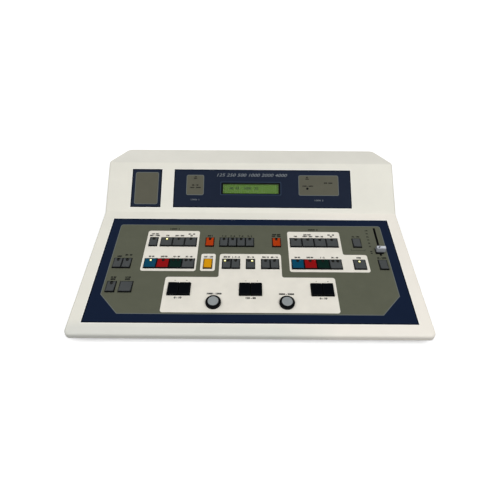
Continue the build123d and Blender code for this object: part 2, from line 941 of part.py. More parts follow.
def build_feet():
    """Four square rubber feet under the tray, tapered to the table."""
    x = half_case - foot_side_inset
    foot = Pos(0, 0, foot_height) * extrude(Rectangle(foot_side, foot_side), -foot_height, taper=foot_taper)
    places = [(side * x, end * (rear_y - foot_inset)) for side in (-1, 1) for end in (-1, 1)]
    return [Pos(px, py, 0) * foot for px, py in places]


def build_screws():
    """Screws that hold the tray to the cover, heads under the flange."""
    head = prism(screw_head_radius, screw_sides, rim_z - screw_head, rim_z)
    screw = head + prism(screw_radius, screw_sides, rim_z - screw_head, rim_z + screw_length - screw_gap)
    return [Pos(x, y, 0) * screw for x, y in case_boss_places()]


def build_sockets():
    """Headphone and microphone sockets, and the data port, on the rear panel."""
    body = slab(socket_body, socket_body, -sheet - socket_body_depth, -sheet)
    nut = prism(socket_nut, socket_nut_sides, 0, socket_nut_thickness)
    bush = prism(socket_bush, socket_bush_sides, -sheet, 0)
    bore = disc(socket_bore, socket_nut_thickness - socket_bore_depth, socket_nut_thickness)
    socket = body + bush + nut - bore
    pieces = [on_rear(half_case * share, socket_height) * socket for share in socket_shares]
    flange = slab(port_width, port_height, 0, port_flange)
    half = shell_width / 2
    low = shell_height / 2
    foot = half - shell_bevel
    outline = Polyline((-half, low), (half, low), (foot, -low), (-foot, -low), close=True)
    shell = Pos(0, 0, -sheet) * extrude(make_face(outline), sheet + port_flange + shell_length)
    port_body = slab(shell_width, shell_height, -sheet - port_body_depth, -sheet)
    pieces.append(on_rear(half_case * port_share, socket_height) * (flange + shell + port_body))
    return pieces


# Mains inlet


def rocker_place():
    """Pivot of the rocker switch in the mains inlet."""
    return on_rear(inlet_x, inlet_height) * Pos(rocker_offset, 0, inlet_flange - rocker_pivot)


def build_inlet():
    """Mains inlet: flange, body, plug well with its blades, fuse drawer and rocker well."""
    body = slab(inlet_flange_width, inlet_flange_height, 0, inlet_flange)
    body += slab(inlet_body_width, inlet_body_height, -inlet_body_depth, 0)
    half_width, half_height = inlet_well_width / 2, inlet_well_height / 2
    well = Polyline(
        (-half_width, -half_height),
        (half_width, -half_height),
        (half_width, half_height - inlet_well_bevel),
        (half_width - inlet_well_bevel, half_height),
        (inlet_well_bevel - half_width, half_height),
        (-half_width, half_height - inlet_well_bevel),
        close=True,
    )
    floor = inlet_flange - inlet_well_depth
    well_place = Pos(inlet_well_offset, 0, 0)
    body -= well_place * Pos(0, 0, floor) * extrude(make_face(well), inlet_well_depth)
    blade = slab(blade_width, blade_height, floor - fit_gap, floor + blade_length)
    for column in (-1, 0, 1):
        rise = blade_rise if column == 0 else -blade_rise
        body += well_place * Pos(column * blade_spacing, blade_centre + rise, 0) * blade
    body += Pos(fuse_offset, 0, 0) * slab(fuse_width, fuse_height, 0, inlet_flange + fuse_depth)
    rocker_floor = inlet_flange - rocker_well_depth
    body -= Pos(rocker_offset, 0, 0) * slab(
        rocker_well_width, rocker_well_height, rocker_floor, inlet_flange
    )
    length = rocker_well_width + 2 * rocker_pin_length
    pivot = Pos(rocker_offset, 0, inlet_flange - rocker_pivot)
    body -= pivot * Rotation(0, 90, 0) * Cylinder(rocker_pin_radius + rocker_pin_gap, length)
    return [on_rear(inlet_x, inlet_height) * body]


def build_rocker():
    """Mains rocker with its two pivot pins, resting on one side."""
    half = rocker_well_height / 2 - rocker_gap - rocker_swing
    back = half * rocker_back_share
    points = [
        (-half, rocker_pivot + rocker_rise),
        (0, rocker_pivot),
        (half, rocker_pivot + rocker_rise),
        (half, 0),
        (back, -rocker_depth),
        (-back, -rocker_depth),
        (-half, 0),
    ]
    width = rocker_well_width - 2 * rocker_gap
    rocker = side_shape(points, width / 2)
    length = rocker_well_width + 2 * (rocker_pin_length - rocker_gap)
    rocker += Rotation(0, 90, 0) * Cylinder(rocker_pin_radius, length)
    return [rocker_place() * Rotation(rocker_tilt, 0, 0) * rocker]


def build_all():
    """Every node of the console with its solids."""
    caps, bodies, lamps = build_keys()
    nodes = {
        "top_cover": [build_cover()],
        "base_tray": build_tray(),
        "rear_panel": build_rear_panel(),
        "printed_foils": build_foils(),
        "lcd_window": build_window(),
        "lcd_module": build_lcd(),
        "switch_bodies": bodies,
        "key_lamps": lamps,
        "fader_body": build_fader_body(),
        "circuit_boards": [build_control_board()] + main_board_pieces(),
        "mains_transformer": build_transformer(),
        "rear_sockets": build_sockets(),
        "mains_inlet": build_inlet(),
        "rubber_feet": build_feet(),
        "case_screws": build_screws(),
        "fader_knob": build_fader_knob(),
        "power_rocker": build_rocker(),
    }
    nodes.update(caps)
    return nodes


def write_parts():
    """Writes one STEP file for each node."""
    os.makedirs("parts", exist_ok=True)
    for name, pieces in build_all().items():
        solids = [solid for piece in pieces for solid in piece.solids()]
        shape = solids[0] if len(solids) == 1 else Compound(solids)
        export_step(shape, f"parts/{name}.step")


if __name__ == "__main__":
    write_parts()
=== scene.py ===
"""Looks of a desktop hearing-test console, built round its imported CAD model.

Lengths in this file are written in millimetres and turned into metres where a mesh is made.
"""

from __future__ import annotations

import logging
import math
from dataclasses import dataclass, field
from enum import Enum
from typing import Sequence

import bmesh
import bpy
import numpy as np
from mathutils import Matrix, Vector

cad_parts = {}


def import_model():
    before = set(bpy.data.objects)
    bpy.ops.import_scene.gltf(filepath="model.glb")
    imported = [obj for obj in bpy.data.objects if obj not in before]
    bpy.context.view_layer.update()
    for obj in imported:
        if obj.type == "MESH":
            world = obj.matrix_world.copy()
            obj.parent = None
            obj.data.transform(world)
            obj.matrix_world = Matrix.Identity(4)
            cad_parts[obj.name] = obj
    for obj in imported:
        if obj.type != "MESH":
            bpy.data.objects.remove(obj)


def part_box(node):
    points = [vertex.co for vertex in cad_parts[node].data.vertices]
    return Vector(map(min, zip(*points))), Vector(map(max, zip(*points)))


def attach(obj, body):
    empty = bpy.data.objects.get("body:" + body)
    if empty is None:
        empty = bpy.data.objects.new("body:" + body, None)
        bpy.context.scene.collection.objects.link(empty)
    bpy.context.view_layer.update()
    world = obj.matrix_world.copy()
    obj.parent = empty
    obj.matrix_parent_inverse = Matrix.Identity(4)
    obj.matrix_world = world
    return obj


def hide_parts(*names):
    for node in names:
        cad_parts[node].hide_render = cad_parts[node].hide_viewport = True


LOG = logging.getLogger("console")
MM = 0.001
ROOT = "console"
WHITE = (1.0, 1.0, 1.0, 1.0)
WORN = (0.75, 0.75, 0.72, 1.0)
# Near-black colour of the painted shade on the sides of keys, buttons and the fader knob.
PAINTED_SHADE = (0.004, 0.005, 0.006, 1.0)
PRINT_EDGE = 0.00008
BEVEL_ANGLE = 28.0
MERGE = 0.000002

Material = bpy.types.Material
Mesh = bpy.types.Mesh
Socket = bpy.types.NodeSocket
Colour = tuple[int, int, int]
Pair = tuple[float, float]
Shape = tuple[np.ndarray, np.ndarray]


# Sloping faces


@dataclass(frozen=True)
class Slope:
    """A sloping face of the case: origin in millimetres and tilt in degrees.

    Local X runs to the right, local Y up the slope and local Z out of the face.
    """

    origin: tuple[float, float, float]
    tilt: float

    def matrix(self) -> Matrix:
        """Matrix from local metres to the object's frame."""
        turn = Matrix.Rotation(math.radians(self.tilt), 4, "X")
        return Matrix.Translation(Vector(self.origin) * MM) @ turn

    def place(self, points: np.ndarray) -> np.ndarray:
        """Moves local points in millimetres to the object's frame in metres.

        Args:
            points: array of shape (..., 3).

        Returns:
            The same shape, in metres.
        """
        turned = np.array(self.matrix().to_3x3())
        return points @ turned.T * MM + np.array(self.origin) * MM


@dataclass(frozen=True)
class CaseSizes:
    """Sizes of the case that its faces follow."""

    front_border: float = 16.5
    foil_depth: float = 184.7
    fold_border: float = 15.3
    front_top: float = 19.0
    slope: float = 8.0
    display_slope: float = 36.9
    display_length: float = 84.2
    top_depth: float = 46.8

    @property
    def panel_length(self) -> float:
        """Length of the key panel up its slope."""
        return self.front_border + self.foil_depth + self.fold_border

    @property
    def depth(self) -> float:
        """Depth of the whole case."""
        run = self.panel_length * math.cos(math.radians(self.slope))
        return run + self.display_length * math.cos(math.radians(self.display_slope)) + self.top_depth

    def at(self, along: float) -> tuple[float, float, float]:
        """Point of the key panel's middle line at a length up its slope."""
        angle = math.radians(self.slope)
        return (0.0, -self.depth / 2 + along * math.cos(angle), self.front_top + along * math.sin(angle))

    @property
    def control(self) -> Slope:
        """Key panel, with local Y measured from the control foil's lower edge."""
        return Slope(self.at(self.front_border), self.slope)

    @property
    def display(self) -> Slope:
        """Display face, with local Y measured from the fold."""
        return Slope(self.at(self.panel_length), self.display_slope)


CASE = CaseSizes()
LEVEL = Slope((0.0, 0.0, 0.0), 0.0)


# Finishes


class Base(Enum):
    """How the light leaves a surface."""

    PLASTIC = "plastic"
    METAL = "metal"
    RUBBER = "rubber"


def linear(colour: Sequence[float]) -> tuple[float, float, float, float]:
    """Turns a colour of 0 to 255 display values into the linear values that a shader takes.

    Args:
        colour: red, green and blue as the eye sees them.

    Returns:
        Linear red, green, blue and an alpha of one.
    """
    values = np.asarray(colour, float) / 255.0
    low = values / 12.92
    high = ((values + 0.055) / 1.055) ** 2.4
    red, green, blue = np.where(values <= 0.04045, low, high)
    return (float(red), float(green), float(blue), 1.0)


class Nodes:
    """A material's node tree, with short calls to add and join its nodes."""

    def __init__(self, name: str) -> None:
        """Starts a material of that name with one Principled shader.

        Args:
            name: the material's name.
        """
        self.material = bpy.data.materials.new(name)
        self.material.use_nodes = True
        self.tree = self.material.node_tree
        self.shader = self.tree.nodes["Principled BSDF"]
        self.where = self.add("ShaderNodeTexCoord").outputs["Object"]

    def add(
        self, kind: str, values: dict[str | int, object] | None = None, **settings: object
    ) -> bpy.types.Node:
        """Adds a node.

        Args:
            kind: the node's type name.
            values: what its sockets hold; a socket of another node is joined.
            **settings: the node's own properties.

        Returns:
            The new node.
        """
        node = self.tree.nodes.new(kind)
        for key, value in settings.items():
            setattr(node, key, value)
        for key, value in (values or {}).items():
            self.put(node.inputs[key], value)
        return node

    def put(self, socket: Socket, value: object) -> None:
        """Joins a socket to another one, or sets its value.

        Args:
            socket: the socket.
            value: another node's socket, a number or a colour.
        """
        if isinstance(value, Socket):
            self.tree.links.new(value, socket)
        else:
            socket.default_value = value

    def surface(self, values: dict[str, object]) -> Material:
        """Gives the shader's sockets their values, and hands out the material.

        Args:
            values: what the shader's sockets hold.

        Returns:
            The material.
        """
        for name, value in values.items():
            self.put(self.shader.inputs[name], value)
        return self.material

    def math(self, operation: str, *values: object) -> Socket:
        """Result of a Math node on numbers or sockets."""
        return self.add("ShaderNodeMath", dict(enumerate(values)), operation=operation).outputs[0]

    def vector(self, operation: str, *values: object) -> Socket:
        """Result of a Vector Math node: a number for a length or a scalar product, else a vector."""
        node = self.add("ShaderNodeVectorMath", dict(enumerate(values)), operation=operation)
        return node.outputs["Value" if operation in ("LENGTH", "DOT_PRODUCT") else "Vector"]

    def noise(self, scale: float, detail: float = 3.0) -> Socket:
        """Noise between 0 and 1 with that many features a metre."""
        values = {"Vector": self.where, "Scale": scale, "Detail": detail}
        return self.add("ShaderNodeTexNoise", values).outputs[0]

    def span(
        self, value: object, low: float, high: float, to_low: float = 0.0, to_high: float = 1.0
    ) -> Socket:
        """Stretches a value from one range to another, clamped."""
        limits = {"Value": value, "From Min": low, "From Max": high, "To Min": to_low, "To Max": to_high}
        return self.add("ShaderNodeMapRange", limits).outputs[0]

    def face(self, slope: Slope) -> Face:
        """Flat coordinates on a sloping face.

        Args:
            slope: the face.

        Returns:
            These nodes with the coordinates, in metres.
        """
        mapping = self.add("ShaderNodeMapping", {"Vector": self.where}, vector_type="TEXTURE")
        mapping.inputs["Location"].default_value = Vector(slope.origin) * MM
        mapping.inputs["Rotation"].default_value = (math.radians(slope.tilt), 0.0, 0.0)
        return Face(self, self.vector("MULTIPLY", mapping.outputs[0], (1.0, 1.0, 0.0)))

    def behind(self) -> Socket:
        """One behind the fold between the key panel and the display face, and zero before it."""
        along = self.add("ShaderNodeSeparateXYZ", {0: self.where}).outputs[1]
        return self.math("GREATER_THAN", along, CASE.display.origin[1] * MM)

    def upward(self, reach: float = 0.0) -> Socket:
        """How far a surface faces out of the key panel: one when straight, zero when square.

        Args:
            reach: metres over which the surface's direction is averaged round its edges.

        Returns:
            The socket with that value.
        """
        angle = math.radians(CASE.slope)
        if reach:
            normal = self.add("ShaderNodeBevel", {"Radius": reach}, samples=4).outputs[0]
        else:
            normal = self.add("ShaderNodeNewGeometry").outputs["Normal"]
        return self.vector("DOT_PRODUCT", normal, (0.0, -math.sin(angle), math.cos(angle)))

    def mix(self, share: object, first: object, second: object) -> Socket:
        """Blends two colours."""
        return self.add("ShaderNodeMix", {0: share, 6: first, 7: second}, data_type="RGBA").outputs[2]

    def coats(self, colour: object, *coats: tuple[object, object]) -> Socket:
        """Lays colours over a ground, each by its share.

        Args:
            colour: the ground.
            *coats: share and colour of each coat.

        Returns:
            The socket with that colour.
        """
        for share, tone in coats:
            colour = self.mix(share, colour, tone)
        return colour


@dataclass(frozen=True)
class Finish:
    """A plain finish: colour with cloudy variation, grain, paler worn edges and painted shade on its sides.
    """

    name: str
    colour: Colour
    base: Base = Base.PLASTIC
    roughness: float = 0.45
    cloud: float = 0.05
    cloud_scale: float = 60.0
    grain: float = 0.10
    grain_scale: float = 2500.0
    wear: float = 0.10
    edge: float = 0.0006
    specular: float = 0.10
    # Painted shade on sides facing away from the key panel: its share, where it starts and ends, and the
    # normal's averaging reach.
    side_shade: float = 0.0
    side_shade_from: float = 0.965
    side_shade_to: float = 0.80
    side_shade_reach: float = 0.0

    def build(self) -> Material:
        """Material of this finish."""
        nodes = Nodes(self.name)
        return self.dress(nodes, self.clouded(nodes, self.colour))

    def clouded(self, nodes: Nodes, colour: Sequence[float]) -> Socket:
        """The colour with soft darker and paler clouds.

        Args:
            nodes: the tree to add nodes to.
            colour: red, green and blue of 0 to 255.

        Returns:
            The socket with that colour.
        """
        cloud = nodes.span(nodes.noise(self.cloud_scale), 0.3, 0.7)
        base = np.array(linear(colour)[:3])
        return nodes.mix(
            cloud, (*(base * (1 - self.cloud)), 1.0), (*np.minimum(base * (1 + self.cloud), 1.0), 1.0)
        )

    def dress(self, nodes: Nodes, colour: Socket) -> Material:
        """Joins colour, edge wear, painted side shade, roughness and grain to the shader.

        The worn edges are where the bevelled normal bends away from the surface's own. The sides that face
        away from the key panel's normal get painted shade, a near-black colour in place of their shade.

        Args:
            nodes: the tree to add nodes to.
            colour: the finish's colour.

        Returns:
            The material.
        """
        if self.wear:
            bevel = nodes.add("ShaderNodeBevel", {"Radius": self.edge}, samples=4)
            normal = nodes.add("ShaderNodeNewGeometry").outputs["Normal"]
            bent = nodes.span(nodes.vector("DOT_PRODUCT", bevel.outputs[0], normal), 0.99, 0.80)
            patchy = nodes.span(nodes.noise(400.0), 0.35, 0.65, 0.3, 1.0)
            worn = nodes.math("MULTIPLY", nodes.math("MULTIPLY", bent, patchy), self.wear)
            colour = nodes.mix(worn, colour, WORN)
        # Painted shade: darkens the sides that face away from the key panel.
        if self.side_shade:
            facing = nodes.upward(self.side_shade_reach)
            shaded_sides = nodes.span(facing, self.side_shade_from, self.side_shade_to, 0.0, self.side_shade)
            colour = nodes.mix(shaded_sides, colour, PAINTED_SHADE)
        smudge = nodes.noise(self.cloud_scale * 0.7, 5.0)
        low, high = max(self.roughness - 0.06, 0.02), min(self.roughness + 0.08, 1.0)
        grain = nodes.noise(self.grain_scale, 2.0)
        bump = nodes.add("ShaderNodeBump", {"Height": grain, "Strength": self.grain, "Distance": 0.0002})
        return nodes.surface({
            "Base Color": colour, "Roughness": nodes.span(smudge, 0.3, 0.7, low, high),
            "Normal": bump.outputs[0], "Metallic": float(self.base is Base.METAL),
            "Specular IOR Level": self.specular,
        })


@dataclass(frozen=True)
class Field:
    """A printed field with rounded corners on a foil, in millimetres from the foil's own origin."""

    left: float
    right: float
    low: float
    high: float
    corner: float


@dataclass(frozen=True)
class Face:
    """A material's nodes with flat coordinates on one sloping face."""

    nodes: Nodes
    spot: Socket

    def mask(self, *fields: Field, inset: float = 0.0) -> Socket:
        """Share of ink: one inside any of the fields and zero outside.

        The distance to a rounded box is the length of what the spot's distance from the middle
        exceeds the half sizes by, less the corner's radius.

        Args:
            *fields: the fields.
            inset: how much smaller each is taken all round, in millimetres.

        Returns:
            The socket with that share.
        """
        nodes, total = self.nodes, None
        for each in fields:
            reach = max(each.corner, inset + 0.2)
            middle = ((each.left + each.right) / 2 * MM, (each.low + each.high) / 2 * MM, 0.0)
            width, height = (each.right - each.left) / 2, (each.high - each.low) / 2
            half = ((width - reach) * MM, (height - reach) * MM, 0.0)
            away = nodes.vector("ABSOLUTE", nodes.vector("SUBTRACT", self.spot, middle))
            over = nodes.vector("MAXIMUM", nodes.vector("SUBTRACT", away, half), (0.0, 0.0, 0.0))
            distance = nodes.math("SUBTRACT", nodes.vector("LENGTH", over), (reach - inset) * MM)
            share = nodes.span(distance, PRINT_EDGE, -PRINT_EDGE)
            total = share if total is None else nodes.math("MAXIMUM", total, share)
        return total


@dataclass(frozen=True)
class PrintedFoil:
    """Finish of the printed foils: navy ground, olive field, white fields and grey boxes."""

    finish: Finish = Finish(
        "foil_print", (15, 27, 49), roughness=0.46, cloud=0.035, grain=0.05, wear=0.0, specular=0.04
    )
    display: Colour = (26, 34, 51)
    line: Colour = (104, 110, 108)
    line_width: float = 0.9
    # Painted shade along the foils' cut edges: its width and its share.
    edge_shade_width: float = 1.3
    edge_shade_share: float = 0.85
    olive: Colour = (91, 93, 79)
    white: Colour = (230, 226, 215)
    box: Colour = (92, 91, 79)
    outline: Colour = (50, 64, 84)
    black: Colour = (7, 10, 14)
    olive_field: Field = Field(-197.5, 197.5, 12.9, 171.8, 4.0)
    white_fields: tuple[Field, ...] = (
        Field(-153.0, -76.0, 82.3, 159.0, 3.5),
        Field(-70.0, -49.5, 82.8, 114.0, 3.0),
        Field(-43.6, 43.6, 62.0, 114.0, 3.5),
        Field(-115.5, 115.5, 15.5, 72.2, 3.5),
        Field(55.0, 133.0, 82.0, 158.8, 3.5),
        Field(120.0, 167.0, 82.0, 113.7, 3.5),
    )
    notches: tuple[tuple[float, float, int], ...] = ((43.6, 72.2, 1), (-43.6, 72.2, -1), (133.0, 113.7, 1))
    notch_radius: float = 3.0
    notch_overlap: float = 0.5
    boxes: tuple[Field, ...] = (
        Field(-185.0, -147.8, 13.0, 67.1, 3.0),
        Field(-103.0, -75.0, 28.7, 63.0, 3.0),
        Field(76.4, 140.6, 29.0, 63.5, 3.0),
    )
    foils: tuple[Field, ...] = (Field(-190.4, -142.8, 8.1, 72.3, 0.5), Field(-123.0, 160.3, 8.1, 72.3, 0.5))
    control_foil: Field = Field(-211.45, 211.45, 0.0, 184.7, 0.5)
    frame_outer: Field = Field(-48.6, 48.6, 29.2, 51.6, 1.5)
    frame_inner: Field = Field(-47.7, 47.7, 30.1, 50.7, 1.2)
    window_edge: Field = Field(-47.2, 47.2, 30.5, 50.3, 1.0)
    slot_edge: Field = Field(185.9, 189.1, 112.6, 167.8, 0.8)
    chamfer_from: Pair = (170.0, 12.9)
    chamfer_to: Pair = (197.5, 42.4)

    def chamfer(self, face: Face, inset: float) -> Socket:
        """Share of olive left by the two cut corners: height over the slanting line, less an inset.

        Args:
            face: the key panel.
            inset: that inset, in millimetres.

        Returns:
            The socket with that share.
        """
        nodes = face.nodes
        start, end = np.array(self.chamfer_from), np.array(self.chamfer_to)
        along = (end - start) / np.linalg.norm(end - start)
        normal = np.array([-along[1], along[0]])
        height = nodes.vector("DOT_PRODUCT", nodes.vector("ABSOLUTE", face.spot), (*normal, 0.0))
        height = nodes.math("SUBTRACT", height, (float(start @ normal) + inset) * MM)
        return nodes.span(height, -PRINT_EDGE, PRINT_EDGE)

    def build(self) -> Material:
        """Material of the foils.

        Returns:
            The material.
        """
        nodes = Nodes(self.finish.name)
        colour = nodes.mix(nodes.behind(), self.control(nodes), self.screen_side(nodes))
        return self.finish.dress(nodes, colour)

    def control(self, nodes: Nodes) -> Socket:
        """Colour of the foil under the keys.

        Args:
            nodes: the tree to add nodes to.

        Returns:
            The socket with that colour.
        """
        face = nodes.face(CASE.control)
        whole, inner = (
            nodes.math("MULTIPLY", face.mask(self.olive_field, inset=inset), self.chamfer(face, inset))
            for inset in (0.0, self.line_width)
        )
        white = face.mask(*self.white_fields)
        for x, along, side in self.notches:
            white = nodes.math("MAXIMUM", white, self.notch(face, x, along, side))
        return nodes.coats(
            self.edge_shaded(face, self.finish.colour, self.control_foil),
            (whole, linear(self.line)),
            (inner, self.finish.clouded(nodes, self.olive)),
            (white, self.finish.clouded(nodes, self.white)),
            (face.mask(self.slot_edge), linear(self.black)),
        )

    def notch(self, face: Face, x: float, along: float, side: int) -> Socket:
        """Share of white that rounds an inner corner.

        It is a small square less the circle that touches the square's far sides.

        Args:
            face: the key panel.
            x: the corner's place across the face, in millimetres.
            along: its place up the face.
            side: 1 where the olive lies to the right of it, and -1 to the left.

        Returns:
            The socket with that share.
        """
        radius, overlap = self.notch_radius, self.notch_overlap
        near, far = sorted((x - overlap * side, x + radius * side))
        left, right = sorted((x, x + 2 * radius * side))
        square = face.mask(Field(near, far, along - overlap, along + radius, 0.3))
        circle = face.mask(Field(left, right, along, along + 2 * radius, radius))
        return face.nodes.math("MULTIPLY", square, face.nodes.math("SUBTRACT", 1.0, circle))

    def screen_side(self, nodes: Nodes) -> Socket:
        """Colour of the foils on the display face.

        Args:
            nodes: the tree to add nodes to.

        Returns:
            The socket with that colour.
        """
        face = nodes.face(CASE.display)
        return nodes.coats(
            self.edge_shaded(face, self.display, *self.foils),
            (face.mask(*self.boxes), linear(self.line)),
            (face.mask(*self.boxes, inset=self.line_width), self.finish.clouded(nodes, self.box)),
            (face.mask(self.frame_outer), linear(self.outline)),
            (face.mask(self.frame_inner), linear(self.display)),
            (face.mask(self.window_edge), linear(self.black)),
        )

    def edge_shaded(self, face: Face, ground: Colour, *foils: Field) -> Socket:
        """The ground colour with painted shade along the cut edges of the foils.

        Args:
            face: the face.
            ground: the ground colour.
            *foils: outlines of the foils.

        Returns:
            The socket with that colour.
        """
        # Painted shade: a dark band inside each foil's cut edge.
        rim = face.nodes.math("SUBTRACT", 1.0, face.mask(*foils, inset=self.edge_shade_width))
        share = face.nodes.math("MULTIPLY", rim, self.edge_shade_share)
        return face.nodes.mix(share, self.finish.clouded(face.nodes, ground), linear(self.black))


@dataclass(frozen=True)
class CaseEnamel:
    """Finish of the top cover.

    Light and shade are painted into the enamel: a painted highlight at the panel's right side and
    a painted highlight round the foils, painted shade at the front left and on the top, and black
    painted shade on the sides of the holes under the foils. The spans are metres in the object's frame.
    """

    finish: Finish = Finish(
        "case_enamel", (233, 231, 220), roughness=0.50, cloud=0.02, cloud_scale=25.0, grain=0.22,
        grain_scale=1800.0, wear=0.05, edge=0.002, specular=0.15,
    )
    # Near-black painted shade for the sides of the holes under the foils.
    black: Colour = (9, 10, 12)
    # Colour and share of the painted highlight round the foils.
    edge_highlight: Colour = (251, 250, 245)
    edge_highlight_share: float = 0.8
    # Painted light: paler enamel towards the panel's right side.
    right: Colour = (241, 236, 226)
    # Painted shade: greyer enamel at the front left.
    front: Colour = (221, 221, 213)
    # Painted shade: greyer enamel on the top.
    top: Colour = (226, 224, 214)
    # Key panel, window and lamp hole outlines, whose hole sides get black painted shade.
    keys: Field = Field(-205.0, 205.0, 8.0, 176.0, 1.0)
    window: Field = Field(-47.0, 47.0, 30.0, 51.0, 1.0)
    hole: Field = Field(87.5, 93.5, 37.8, 43.8, 1.0)
    # Outline round the control foil that gets the painted highlight.
    pocket: Field = Field(-212.6, 212.6, -1.15, 185.85, 1.2)
    # Spans of the painted light at the right and of the painted shade at the front left and on the top.
    lit_right_span: Pair = (0.02, 0.12)
    front_shade_span: Pair = (-0.143, -0.155)
    front_shade_side: Pair = (0.11, 0.03)
    top_shade_span: Pair = (0.1165, 0.1185)
    # Outlines round the display foils that get the painted highlight.
    pockets: tuple[Field, ...] = (Field(-191.5, -141.7, 7.0, 73.4, 1.2), Field(-124.1, 161.4, 7.0, 73.4, 1.2))

    def build(self) -> Material:
        """Material of the cover.

        Returns:
            The material.
        """
        nodes = Nodes(self.finish.name)
        x, y, _ = nodes.add("ShaderNodeSeparateXYZ", {0: nodes.where}).outputs
        screen, panel, behind = nodes.face(CASE.display), nodes.face(CASE.control), nodes.behind()
        ahead = nodes.math("SUBTRACT", 1.0, behind)
        # Black painted shade on the sides of the window, the lamp hole and the key panel's holes.
        shaded_openings = nodes.math("MULTIPLY", screen.mask(self.window, self.hole), behind)
        shaded_openings = nodes.math("MAXIMUM", shaded_openings, panel.mask(self.keys))
        # Painted highlight round the foils.
        edge_highlights = nodes.math("MULTIPLY", screen.mask(*self.pockets), behind)
        edge_highlights = nodes.math("MAXIMUM", edge_highlights, nodes.math("MULTIPLY", panel.mask(self.pocket), ahead))
        # Painted light at the right and painted shade at the front left.
        right = nodes.math("MULTIPLY", ahead, nodes.span(x, *self.lit_right_span))
        front = nodes.math("MULTIPLY", nodes.span(y, *self.front_shade_span), nodes.span(x, *self.front_shade_side))
        return self.finish.dress(nodes, nodes.coats(
            self.finish.clouded(nodes, self.finish.colour),
            (right, self.finish.clouded(nodes, self.right)),
            (front, self.finish.clouded(nodes, self.front)),
            # Painted shade on the top.
            (nodes.span(y, *self.top_shade_span), self.finish.clouded(nodes, self.top)),
            (nodes.math("MULTIPLY", edge_highlights, self.edge_highlight_share), linear(self.edge_highlight)),
            (shaded_openings, linear(self.black)),
        ))


@dataclass(frozen=True)
class LitLamp:
    """Finish of a lamp that is on: yellow light with a paler middle."""

    name: str = "lamp_lit"
    colour: Colour = (212, 200, 40)
    middle: Colour = (255, 255, 205)
    strength: float = 0.95

    def build(self) -> Material:
        """Material of the lit lamps.

        Returns:
            The material.
        """
        nodes = Nodes(self.name)
        cloud = nodes.math("MULTIPLY", nodes.noise(900.0), 0.2)
        share = nodes.math("SUBTRACT", nodes.span(nodes.upward(), 0.45, 0.90), cloud)
        colour = nodes.mix(share, linear(self.colour), linear(self.middle))
        return nodes.surface({
            "Base Color": colour, "Emission Color": colour, "Emission Strength": self.strength,
            "Roughness": 0.25, "Specular IOR Level": 0.1,
        })


@dataclass(frozen=True)
class ScreenGlass:
    """Finish of the character display: green ground with a faint grid of dots and lit from behind."""

    name: str = "lcd_screen"
    colour: Colour = (92, 132, 44)
    dark: Colour = (74, 108, 42)
    bands: float = 0.31 / 0.0036
    glow: float = 0.22

    def build(self) -> Material:
        """Material of the screen.

        Returns:
            The material.
        """
        nodes = Nodes(self.name)
        grid = {"Vector": nodes.where, "Scale": self.bands}
        bands = nodes.add("ShaderNodeTexWave", grid, bands_direction="X")
        faint = nodes.math("MULTIPLY", nodes.span(bands.outputs["Fac"], 0.2, 0.9), 0.35)
        cloud = nodes.math("MULTIPLY", nodes.noise(35.0), 0.5)
        colour = nodes.mix(nodes.math("ADD", faint, cloud), linear(self.colour), linear(self.dark))
        return nodes.surface({
            "Base Color": colour, "Emission Color": colour, "Emission Strength": self.glow,
            "Roughness": 0.3, "Specular IOR Level": 0.05,
        })


@dataclass(frozen=True)
class WindowPane:
    """Finish of the clear pane: mostly see-through, with a soft gloss."""

    name: str = "window_pane"
    alpha: float = 0.12

    def build(self) -> Material:
        """Material of the pane.

        Returns:
            The material.
        """
        nodes = Nodes(self.name)
        smear = nodes.span(nodes.noise(120.0, 4.0), 0.3, 0.7, 0.05, 0.16)
        tint = nodes.mix(nodes.noise(60.0), (0.10, 0.14, 0.08, 1.0), (0.14, 0.18, 0.11, 1.0))
        return nodes.surface({"Base Color": tint, "Roughness": smear, "Alpha": self.alpha})


def key_finish(name: str, colour: Colour, side_shade: float = 0.96, **more: float) -> Finish:
    """Finish of a key's cap, whose painted side shade reaches a little over its edges.

    Args:
        name: the material's name.
        colour: the cap's colour.
        side_shade: share of painted shade on the sides.
        **more: what differs from the look that the keys share.

    Returns:
        The finish.
    """
    look = {"roughness": 0.42, "grain": 0.15, "wear": 0.04}
    # Painted side shade that reaches a little over the caps' edges.
    look |= {"side_shade_reach": 0.0018, "side_shade_from": 0.975, "side_shade_to": 0.92}
    return Finish(name, colour, side_shade=side_shade, **(look | more))


